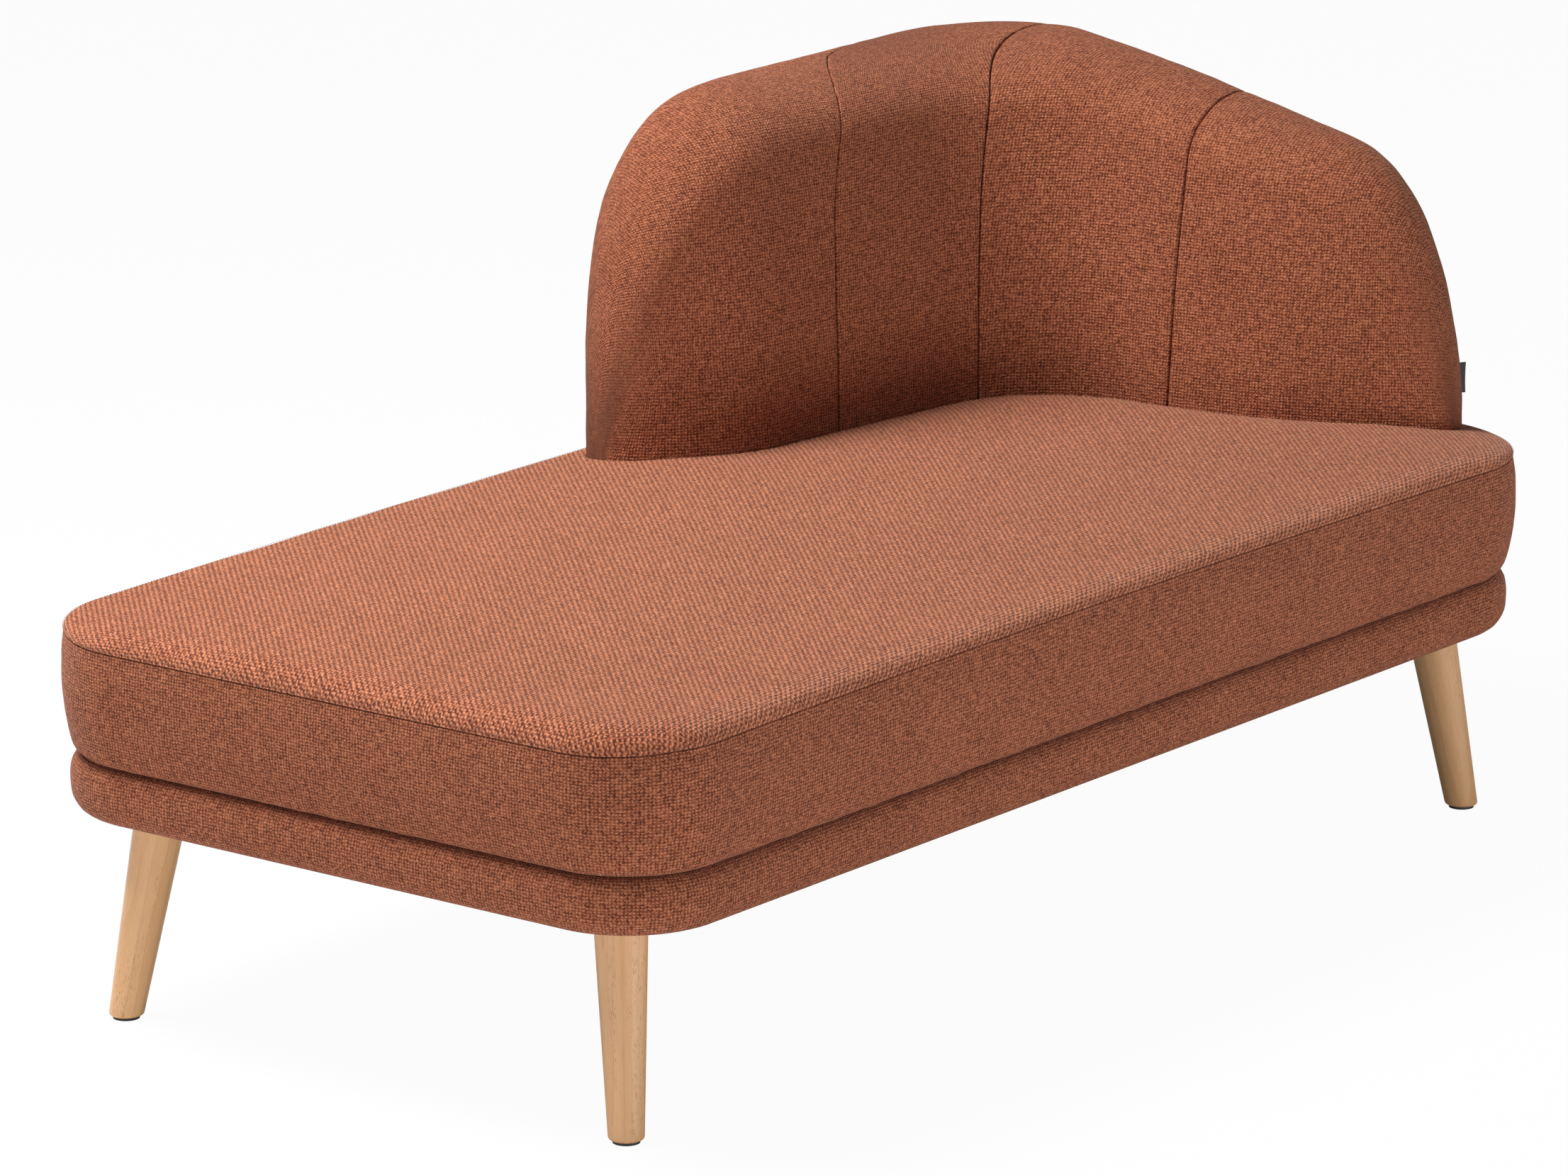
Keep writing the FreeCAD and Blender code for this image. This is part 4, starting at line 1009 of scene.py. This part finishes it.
class CHAISE_OT_cushion_boxing(ChaisePiece, bpy.types.Operator):
    """Bulging side of the cushion, drawn in at the groove"""

    bl_idname = "chaise.cushion_boxing"
    bl_label = "Cushion Boxing"

    def execute(self, context):
        seat, plan = self.seat, self.plan
        loop = boxing_loop(seat)
        points, faces, where = swept(plan, loop, True)
        share = np.clip((points[:, 2] - seat.groove) / (seat.seam - seat.groove), 0, 1)
        middle = share * (1 - share) * 4
        points += wall_ways(plan, loop) * (middle * lumps(points, BOXING_LUMPS))[:, None]
        tuck = np.exp(-(share / 0.10) ** 2) * (points[:, 2] > seat.groove + 1 * MM)
        points[:, 2] += tuck * lumps(points * (1, 1, 0), TUCK_LUMPS)
        piece = make_object("cushion_boxing", seam_warp(seat, points), faces,
                            sweep_map(plan, loop, where), FINISHES["body_cloth"])
        finish_piece(piece, "body_cloth", "seat_boxing", fill=0.85)
        return {"FINISHED"}


class CHAISE_OT_base_band(ChaisePiece, bpy.types.Operator):
    """Padded band round the base"""

    bl_idname = "chaise.base_band"
    bl_label = "Base Band"

    def execute(self, context):
        seat, plan = self.seat, self.plan
        loop = band_loop(seat)
        points, faces, where = swept(plan, loop, True)
        share = np.clip((points[:, 2] - seat.band_low) / (seat.groove - seat.band_low), 0, 1)
        shown = np.repeat([offset for offset, _ in loop], len(plan.ways)) > -12 * MM
        skin = share * (1 - share) * 4 * shown
        points += wall_ways(plan, loop) * (skin * lumps(points, BAND_LUMPS))[:, None]
        piece = make_object("padded_base_band", points, faces, sweep_map(plan, loop, where),
                            FINISHES["body_cloth"])
        finish_piece(piece, "body_cloth", "base_band", fill=0.7)
        return {"FINISHED"}


class CHAISE_OT_cushion_top(ChaisePiece, bpy.types.Operator):
    """Crowned top panel with its rolled edge, notched where the back stands in it"""

    bl_idname = "chaise.cushion_top"
    bl_label = "Cushion Top"

    def execute(self, context):
        seat, plan = self.seat, self.plan
        under = seat.seam + 0.1 * MM
        middle, out = -seat.width / 2, seat.seam_reach
        loop = [(offset, under) for offset in (middle, -250 * MM, -90 * MM, -20 * MM, out - 2 * MM)]
        loop += [(out - 0.5 * MM, under + 0.35 * MM), (out + 0.2 * MM, under + 1.0 * MM)]
        loop += shoulder_profile(seat)
        edge, level = loop[-1]
        flat_from = len(loop) - 1
        inward = np.linspace(edge, middle, int((edge - middle) / (7 * MM)))[1:]
        loop += [(offset, level) for offset in inward]
        points, faces, _ = swept(plan, loop, False)
        inner, outer = self.form().footprint(1.0 * MM)
        self.shape(points, under + 2 * MM, edge, inner)
        length = runs(np.array(loop))
        unrolled = np.where(np.arange(len(loop)) < flat_from, edge + length[flat_from] - length,
                            [offset for offset, _ in loop])
        flat = np.concatenate([plan.at(max(offset, middle)) for offset in unrolled])
        surface = [tuple(flat[index]) for face in faces for index in face]
        piece = make_object("cushion_top", seam_warp(seat, points), faces, surface,
                            FINISHES["seat_cloth"])
        self.notch(piece, np.concatenate([inner, outer[::-1]]))
        finish_piece(piece, "seat_cloth", "seat_top_panel", fill=0.85)
        return {"FINISHED"}

    def shape(self, points, lowest, edge, line):
        """Crown the top, sink its rear and head edges, and press it down along the back."""
        seat = self.seat
        rear_start, head_start, head_run = 90 * MM, 560 * MM, 170 * MM
        rest, press_reach = self.back.base + 9 * MM, 26 * MM
        above = points[:, 2] > lowest
        half = np.array([seat.length / 2, seat.width / 2]) + edge
        beside = np.clip(np.abs(points[:, :2]) / half, 0, 1)
        crown = seat.crown * (1 - beside[:, 0] ** 8) * (1 - beside[:, 1] ** 2) ** 1.3
        to_rear = np.clip((points[:, 1] - rear_start) / (seat.width / 2 - rear_start), 0, 1)
        to_head = np.clip((points[:, 0] - head_start) / head_run, 0, 1)
        sink = np.maximum(seat.rear_sink * to_rear ** 1.4, seat.head_sink * to_head ** 1.3)
        sink *= np.clip((points[:, 2] - seat.seam) / seat.shoulder, 0, 1)
        points[:, 2] += above * (crown - sink)
        near = np.exp(-(nearest(points[:, :2], line) / press_reach) ** 1.4)
        points[:, 2] -= above * near * np.clip(points[:, 2] - rest, 0, None)
        points[:, 2] += above * lumps(points * (1, 1, 0), TOP_LUMPS)

    def notch(self, piece, outline):
        """Cut the place where the back stands out of the panel."""
        low, high = self.back.base - 6 * MM, self.back.base + 60 * MM
        count = len(outline)
        points = [(x, y, z) for z in (low, high) for x, y in outline]
        sides = [(i, (i + 1) % count, count + (i + 1) % count, count + i) for i in range(count)]
        ends = [tuple(range(count))[::-1], tuple(range(count, 2 * count))]
        mesh = bpy.data.meshes.new("notch")
        mesh.from_pydata(points, [], sides + ends)
        outward(mesh)
        cutter = linked("notch", mesh)
        cut = piece.modifiers.new("notch", "BOOLEAN")
        cut.operation = "DIFFERENCE"
        cut.solver = "MANIFOLD"
        cut.object = cutter
        evaluated = piece.evaluated_get(bpy.context.evaluated_depsgraph_get())
        cut_mesh = bpy.data.meshes.new_from_object(evaluated)
        piece.modifiers.remove(cut)
        piece.data = cut_mesh
        cut_mesh.set_sharp_from_angle(angle=math.radians(CRISP))
        bpy.data.objects.remove(cutter)


def nearest(points, line):
    """Distance from each point to a polyline in plan."""
    best = np.full(len(points), 1e9)
    for start, stop in zip(line[:-1], line[1:]):
        edge = stop - start
        share = np.clip(((points - start) @ edge) / max(edge @ edge, 1e-12), 0, 1)
        best = np.minimum(best, np.linalg.norm(points - start - share[:, None] * edge, axis=1))
    return best


class CHAISE_OT_seam_stitches(ChaisePiece, bpy.types.Operator):
    """Fine stitches along the seam round the cushion, and staples round the dust cloth"""

    bl_idname = "chaise.seam_stitches"
    bl_label = "Seam Stitches"

    def execute(self, context):
        seat, plan = self.seat, self.plan
        tree = path_tree()
        ring = plan.at(seat.seam_reach + 0.25 * MM)
        seam = np.column_stack([ring, np.full(len(ring), seat.seam + 3.6 * MM)])
        stitches = pieces_along("cushion_seam_stitches", seam_warp(seat, seam), tree,
                                FINISHES["thread"], 4.2 * MM, 3.0 * MM, 0.55 * MM)
        finish_piece(stitches, "body_cloth")
        ring = plan.at(-40 * MM)
        hem = np.column_stack([ring, np.full(len(ring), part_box("dust_cover")[0].z - 0.25 * MM)])
        staples = pieces_along("dust_cloth_staples", hem, tree, FINISHES["zinc_steel"],
                               38 * MM, 10 * MM, 0.7 * MM)
        finish_piece(staples, "zinc_steel")
        return {"FINISHED"}


class CHAISE_OT_back_panels(ChaisePiece, bpy.types.Operator):
    """Four inner panels of the back, sewn in three leaning seams"""

    bl_idname = "chaise.back_panels"
    bl_label = "Back Panels"

    def execute(self, context):
        form = self.form()
        run = runs(form.inner[len(form.places) // 2])
        rise = run / run[-1] / CREST_SHARE
        edges = [None] + [seam_places(rise, **seam) for seam in SEAMS] + [None]
        nodes = [("back_panel_1", "back_end_pad_rear"), ("back_panel_2",), ("back_panel_3",),
                 ("back_panel_4", "back_end_pad_head")]
        for number in range(4):
            self.panel(form, number + 1, edges[number], edges[number + 1], nodes[number])
        return {"FINISHED"}

    def panel(self, form, number, left, right, nodes):
        """One panel between two seams, or between a seam and a wing's tip."""
        b = self.back
        rows = form.inner.shape[1]
        low_wrap, high_wrap = b.rear_tip + b.rear_wrap, form.end - b.head_wrap
        clear = 1.5 * MM
        tip = None
        if left is None:
            tip = np.append(form.places[form.places < low_wrap - clear], low_wrap)
            start, stop = np.full(rows, low_wrap), right - SEAM_GAP
        elif right is None:
            tip = np.insert(form.places[form.places > high_wrap + clear], 0, high_wrap)
            start, stop = left + SEAM_GAP, np.full(rows, high_wrap)
        else:
            start, stop = left + SEAM_GAP, right - SEAM_GAP
        shares = seam_spacing(float(np.mean(stop - start)), left is not None, right is not None,
                              6 * MM)
        places = start + shares[:, None] * (stop - start)
        if tip is not None:
            fixed = np.repeat(tip[:, None], rows, axis=1)
            parts = [fixed[:-1], places] if left is None else [places, fixed[1:]]
            places = np.concatenate(parts)
        points = form.take(form.inner, places)
        normals = grid_normals(points)
        surface = grid_surface_map(points, len(points) // 2)
        depth = np.zeros(points.shape[:2])
        for seam, column in ((left, 0), (right, -1)):
            if seam is not None:
                away = np.abs(surface[..., 0] - surface[column, :, 0])
                depth = np.maximum(depth, seam_dive(away))
        to_joint = surface[:, -1:, 1] - surface[..., 1]
        over = (np.clip((places - low_wrap) / (30 * MM), 0, 1)
                * np.clip((high_wrap - places) / (30 * MM), 0, 1))
        depth = np.maximum(depth, seam_dive(to_joint) * over)
        taut = points.reshape(-1, 3)
        soft = lumps(taut, PANEL_LUMPS).reshape(depth.shape)
        points = points + normals * (soft - depth)[..., None]
        sheet = (points.reshape(-1, 3), grid_faces(len(points), rows), surface.reshape(-1, 2), taut)
        if tip is not None:
            sheet = self.wrapped(form, tip, left is None, points, surface, sheet)
        points, faces, surface, taut = welded(*sheet)
        shell, faces, corner_uv = thickened(points, faces, self.thickness(taut), surface, taut)
        piece = make_object("inner_back_panel_%d" % number, shell, faces, corner_uv,
                            FINISHES["body_cloth"])
        finish_piece(piece, "body_cloth", *nodes, fill=0.8)

    def wrapped(self, form, tip, at_start, points, surface, sheet):
        """Carry the cover round a wing's tip to the seam on the outer face, and close the nose."""
        rows = form.outer.shape[1]
        around = form.take(form.outer, np.repeat(tip[:, None], rows, axis=1))
        normals = grid_normals(around)
        away = np.linalg.norm(around - around[-1 if at_start else 0][None], axis=2)
        taut = around.reshape(-1, 3)
        soft = lumps(taut, PANEL_LUMPS).reshape(away.shape)
        around = around + normals * (soft - seam_dive(away))[..., None]
        shared = slice(None, len(tip)) if at_start else slice(-len(tip), None)
        around[:, 0] = points[shared, -1]
        joint = surface[shared, -1]
        above = grid_surface_map(around, len(tip) - 1 if at_start else 0)
        around_surface = np.stack([np.broadcast_to(joint[:, :1], above.shape[:2]),
                                   joint[:, 1:] + above[..., 1]], 2)
        all_points, faces, all_surface, all_taut = sheet
        base, count = len(all_points), points.shape[1]
        faces = faces + grid_faces(len(tip), rows, base)
        inner_first = 0 if at_start else (len(points) - 1) * count
        outer_first = base if at_start else base + (len(tip) - 1) * rows
        for j in range(count - 1):
            a, c = inner_first + j, inner_first + j + 1
            d, e = outer_first + rows - 1 - j, outer_first + rows - 2 - j
            faces.append((a, c, e, d) if at_start else (a, d, e, c))
        return (np.concatenate([all_points, around.reshape(-1, 3)]), faces,
                np.concatenate([all_surface, around_surface.reshape(-1, 2)]),
                np.concatenate([all_taut, taut]))

    def thickness(self, points):
        """Shell thickness, thinner towards the wing tips."""
        b = self.back
        rear_wing, head_wing, elsewhere = points[:, 1] > 0.15, points[:, 0] > 0.55, 1.0
        from_rear = np.where(rear_wing, points[:, 0] - b.rear_tip, elsewhere)
        from_head = np.where(head_wing, points[:, 1] - b.head_tip, elsewhere)
        near = np.clip(np.minimum(from_rear, from_head), 0, None)
        return np.clip(near * 0.3, 1.5 * MM, 12 * MM)


class CHAISE_OT_back_cover(ChaisePiece, bpy.types.Operator):
    """Outer cover of the back, from the joint behind the roll down to the seat"""

    bl_idname = "chaise.back_cover"
    bl_label = "Back Cover"

    def execute(self, context):
        form, b = self.form(), self.back
        start, stop = b.rear_tip + b.rear_wrap + SEAM_GAP, form.end - b.head_wrap - SEAM_GAP
        shares = seam_spacing(stop - start, True, True, 7 * MM)
        rows = form.outer.shape[1]
        places = np.repeat((start + shares * (stop - start))[:, None], rows, axis=1)
        points = form.take(form.outer, places)
        surface = grid_surface_map(points, len(points) // 2)
        across = surface[..., 0]
        depth = seam_dive(surface[..., 1])
        for column in (0, -1):
            depth = np.maximum(depth, seam_dive(np.abs(across - across[column])))
        taut = points.reshape(-1, 3)
        soft = lumps(taut, COVER_LUMPS).reshape(depth.shape)
        points = (points + grid_normals(points) * (soft - depth)[..., None]).reshape(-1, 3)
        shell, faces, corner_uv = thickened(points, grid_faces(len(shares), rows),
                                            np.full(len(points), 8 * MM),
                                            surface.reshape(-1, 2), taut)
        piece = make_object("outer_back_cover", shell, faces, corner_uv, FINISHES["body_cloth"])
        finish_piece(piece, "body_cloth", "back_outer_cover", fill=0.6)
        return {"FINISHED"}


class CHAISE_OT_legs(ChaisePiece, bpy.types.Operator):
    """Four round tapered legs with eased foot edges"""

    bl_idname = "chaise.legs"
    bl_label = "Legs"

    def execute(self, context):
        head_radius = 26 * MM
        for number, (corner, (sx, sy)) in enumerate(CORNERS.items()):
            low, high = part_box("leg_" + corner)
            foot_low, foot_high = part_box("glide_" + corner)
            foot = np.array([(foot_low.x + foot_high.x) / 2, (foot_low.y + foot_high.y) / 2])
            foot_radius = abs((high.x if sx > 0 else low.x) - foot[0])
            far_x, far_y = (low.x if sx > 0 else high.x), (low.y if sy > 0 else high.y)
            head = np.array([far_x + sx * head_radius, far_y + sy * head_radius])
            self.leg(number, corner, (foot, head), (low.z, high.z), (foot_radius, head_radius))
        return {"FINISHED"}

    def leg(self, number, corner, middles, heights, radii):
        """One leg, from foot to head; each of the four has its own part of the grain."""
        (foot, head), (low, high) = middles, heights
        ease, around, rings_up = 3 * MM, 72, 25
        turn = np.linspace(0, math.pi / 2, 7)
        levels = np.concatenate([low + ease * (1 - np.cos(turn)),
                                 np.linspace(low + ease, high, rings_up + 1)[1:]])
        trims = np.concatenate([ease * (1 - np.sin(turn)), np.zeros(rings_up)])
        angle = np.linspace(0, math.tau, around, endpoint=False)
        ring = np.column_stack([np.cos(angle), np.sin(angle)])
        rings = []
        for z, trim in zip(levels, trims):
            share = (z - low) / (high - low)
            radius = radii[0] + (radii[1] - radii[0]) * share - trim
            rings.append(np.column_stack([foot + (head - foot) * share + ring * radius,
                                          np.full(around, z)]))
        points = np.concatenate(rings)
        faces = [(row + i, row + (i + 1) % around,
                  row + around + (i + 1) % around, row + around + i)
                 for row in range(0, (len(rings) - 1) * around, around) for i in range(around)]
        faces += [tuple(range(around))[::-1], tuple(range(len(points) - around, len(points)))]
        corner_uv = [(points[i][0], points[i][2]) for face in faces for i in face]
        piece = make_object("tapered_leg_" + corner, points, faces, corner_uv,
                            FINISHES["leg_wood"], crisp=60)
        local = np.array([v.co for v in piece.data.vertices])
        local[:, :2] -= foot + (head - foot) * (local[:, 2:] - low) / (high - low)
        spin = 1.9 * number + 0.6
        turned = np.column_stack([local[:, 0] * math.cos(spin) - local[:, 1] * math.sin(spin),
                                  local[:, 0] * math.sin(spin) + local[:, 1] * math.cos(spin),
                                  local[:, 2] + 0.7 * number])
        grain = piece.data.attributes.new("grain", "FLOAT_VECTOR", "POINT")
        grain.data.foreach_set("vector", turned.ravel())
        finish_piece(piece, "leg_wood", "leg_" + corner)


class CHAISE_OT_tag(ChaisePiece, bpy.types.Operator):
    """Folded black ribbon in the outer seam of the head wing"""

    bl_idname = "chaise.tag"
    bl_label = "Blank Tag"

    def execute(self, context):
        low, high = TAG_BOX
        reach, thick, half_fold = high.x - low.x, 0.5 * MM, 0.55 * MM
        form = self.form()
        wrap = np.full((1, form.outer.shape[1]), form.end - self.back.head_wrap)
        seam = form.take(form.outer, wrap)[0]
        skin = float(np.interp(-(low.z + high.z) / 2, -seam[:, 2], seam[:, 0]))
        middle = self.back.head_tip + self.back.head_wrap
        fold_start = skin + reach - 0.9 * MM
        side = [(skin - 3 * MM, -0.35 * MM), (skin + 0.5 * reach, -0.5 * MM),
                (fold_start, -half_fold)]
        turn = np.linspace(-math.pi / 2, math.pi / 2, 9)[1:-1]
        bend = [(fold_start + half_fold * math.cos(a), half_fold * math.sin(a)) for a in turn]
        fold = np.array(side + bend + [(x, -y) for x, y in side[::-1]])
        rows = []
        for share in np.linspace(0, 1, 17):
            bow = 0.9 * MM * math.sin(math.pi * share)
            rows.append(np.column_stack([fold[:, 0],
                                         middle + fold[:, 1] + bow * (fold[:, 0] - skin) / reach,
                                         np.full(len(fold), low.z + (high.z - low.z) * share)]))
        points = np.concatenate(rows)
        lean = math.radians(-28)
        out, across = points[:, 0] - skin, points[:, 1] - middle
        points[:, 0] = skin + out * math.cos(lean) - across * math.sin(lean)
        points[:, 1] = middle + out * math.sin(lean) + across * math.cos(lean)
        surface = np.column_stack([np.tile(np.arange(len(fold)) * MM, len(rows)), points[:, 2]])
        shell, faces, corner_uv = thickened(points, grid_faces(len(rows), len(fold)),
                                            np.full(len(points), thick), surface)
        piece = make_object("blank_ribbon_tag", shell, faces, corner_uv, FINISHES["tag_ribbon"])
        finish_piece(piece, "tag_ribbon", "side_tag")
        return {"FINISHED"}


class CHAISE_OT_fittings(ChaisePiece, bpy.types.Operator):
    """Finishes for the frame, webbing, plates, screws and the other nodes that stay"""

    bl_idname = "chaise.fittings"
    bl_label = "Frame And Fittings"

    def execute(self, context):
        slots = {row["node"]: row["material_slot"] for row in frame["record"]["subparts"]}
        for node, piece in frame["nodes"].items():
            piece.data.materials.clear()
            piece.data.materials.append(FINISHES[slots[node]])
        return {"FINISHED"}


class CHAISE_OT_studio(ChaisePiece, bpy.types.Operator):
    """Floor, soft lamps, surroundings and the camera of the reference view"""

    bl_idname = "chaise.studio"
    bl_label = "Studio"

    def execute(self, context):
        settings = context.scene.chaise_studio
        self.floor()
        self.world(settings.ambient)
        for name, (place, size, power) in SOFTBOXES.items():
            self.lamp(name, place, size, getattr(settings, power))
        self.camera(settings)
        context.scene.view_settings.view_transform = "Standard"
        return {"FINISHED"}

    def floor(self):
        """Pale floor that looks almost white to the camera and still takes soft shadows."""
        pale, white_share = 0.86, 0.96
        work = bmesh.new()
        bmesh.ops.create_grid(work, x_segments=24, y_segments=24, size=14)
        mesh = bpy.data.meshes.new("studio_floor")
        work.to_mesh(mesh)
        work.free()
        floor = linked("studio_floor", mesh)
        made, tree, shader = material("pale_floor")
        shader.inputs["Base Color"].default_value = (pale, pale, pale, 1)
        shader.inputs["Roughness"].default_value = 0.9
        white = add(tree, "ShaderNodeEmission", {"Color": (1, 1, 1, 1), "Strength": 1.0})
        seen = add(tree, "ShaderNodeLightPath", output="Is Camera Ray")
        share = math_node(tree, "MULTIPLY", seen, white_share)
        both = add(tree, "ShaderNodeMixShader", {0: share, 1: shader.outputs[0], 2: white})
        tree.links.new(both, tree.nodes["Material Output"].inputs["Surface"])
        mesh.materials.append(made)

    def world(self, ambient):
        """White to look at, and a faint even light."""
        world = bpy.data.worlds.new("studio")
        world.use_nodes = True
        tree = world.node_tree
        tree.nodes.clear()
        rays = tree.nodes.new("ShaderNodeLightPath").outputs
        seen = math_node(tree, "MAXIMUM", rays["Is Camera Ray"], rays["Is Glossy Ray"])
        seen = math_node(tree, "MAXIMUM", seen, rays["Is Transmission Ray"])
        white = add(tree, "ShaderNodeBackground", {"Color": (1, 1, 1, 1), "Strength": 1.0})
        around = add(tree, "ShaderNodeBackground", {"Color": (1, 1, 1, 1), "Strength": ambient})
        both = add(tree, "ShaderNodeMixShader", {0: seen, 1: around, 2: white})
        sink = tree.nodes.new("ShaderNodeOutputWorld")
        tree.links.new(both, sink.inputs["Surface"])
        bpy.context.scene.world = world

    def lamp(self, name, place, size, power):
        """Soft rectangular lamp turned to the middle of the chaise longue."""
        target = Vector((0, 0, 0.35))
        data = bpy.data.lights.new(name, "AREA")
        data.shape = "RECTANGLE"
        data.size, data.size_y = size
        data.energy = power
        lamp = linked(name, data)
        lamp.location = place
        lamp.rotation_euler = (target - Vector(place)).to_track_quat("-Z", "Y").to_euler()
        lamp.visible_camera = False

    def camera(self, settings):
        """Camera at its place round the seat, turned so that the object sits as asked."""
        data = bpy.data.cameras.new("reference_camera")
        data.lens = settings.lens
        data.sensor_width = 36.0
        data.clip_end = 60
        camera = linked("reference_camera", data)
        a, e = math.radians(settings.azimuth), math.radians(settings.elevation)
        behind = Vector((math.sin(a) * math.cos(e), -math.cos(a) * math.cos(e), math.sin(e)))
        right = Vector((math.cos(a), math.sin(a), 0))
        up = behind.cross(right)
        turn = data.sensor_width / data.lens
        forward = -behind - right * settings.right_shift * turn - up * settings.up_shift * turn
        forward.normalize()
        right = (right - forward * right.dot(forward)).normalized()
        up = right.cross(forward)
        place = Vector((0, 0, settings.aim_height)) + behind * settings.distance
        camera.matrix_world = Matrix(((right.x, up.x, -forward.x, place.x),
                                      (right.y, up.y, -forward.y, place.y),
                                      (right.z, up.z, -forward.z, place.z), (0, 0, 0, 1)))
        bpy.context.scene.camera = camera


class CHAISE_PT_panel(bpy.types.Panel):
    """Buttons for every piece of the chaise longue"""

    bl_idname = "CHAISE_PT_panel"
    bl_label = "Chaise Longue"
    bl_space_type = "VIEW_3D"
    bl_region_type = "UI"
    bl_category = "Chaise"

    def draw(self, context):
        for operator in OPERATORS:
            self.layout.operator(operator.bl_idname)
        for group in GROUPS:
            box = self.layout.box()
            for name in group.__annotations__:
                box.prop(getattr(context.scene, GROUPS[group]), name)


OPERATORS = [CHAISE_OT_studio, CHAISE_OT_finishes, CHAISE_OT_fittings,
             CHAISE_OT_cushion_boxing, CHAISE_OT_base_band, CHAISE_OT_cushion_top,
             CHAISE_OT_seam_stitches, CHAISE_OT_back_panels, CHAISE_OT_back_cover,
             CHAISE_OT_legs, CHAISE_OT_tag]
GROUPS = {SeatSizes: "chaise_seat", BackSizes: "chaise_back", ClothColours: "chaise_colours",
          StudioSettings: "chaise_studio"}


def register():
    """Make the settings, the operators and the panel known."""
    for group, name in GROUPS.items():
        bpy.utils.register_class(group)
        setattr(bpy.types.Scene, name, PointerProperty(type=group))
    for operator in OPERATORS:
        bpy.utils.register_class(operator)
    bpy.utils.register_class(CHAISE_PT_panel)


def unregister():
    """Take the panel, the operators and the settings away again."""
    bpy.utils.unregister_class(CHAISE_PT_panel)
    for operator in reversed(OPERATORS):
        bpy.utils.unregister_class(operator)
    for group, name in GROUPS.items():
        delattr(bpy.types.Scene, name)
        bpy.utils.unregister_class(group)


def main():
    """Build every piece in order."""
    register()
    bpy.ops.chaise.studio()
    bpy.ops.chaise.finishes()
    bpy.ops.chaise.fittings()
    bpy.ops.chaise.cushion_boxing()
    bpy.ops.chaise.base_band()
    bpy.ops.chaise.cushion_top()
    bpy.ops.chaise.seam_stitches()
    bpy.ops.chaise.back_panels()
    bpy.ops.chaise.back_cover()
    bpy.ops.chaise.legs()
    bpy.ops.chaise.tag()


if __name__ == "__main__":
    main()
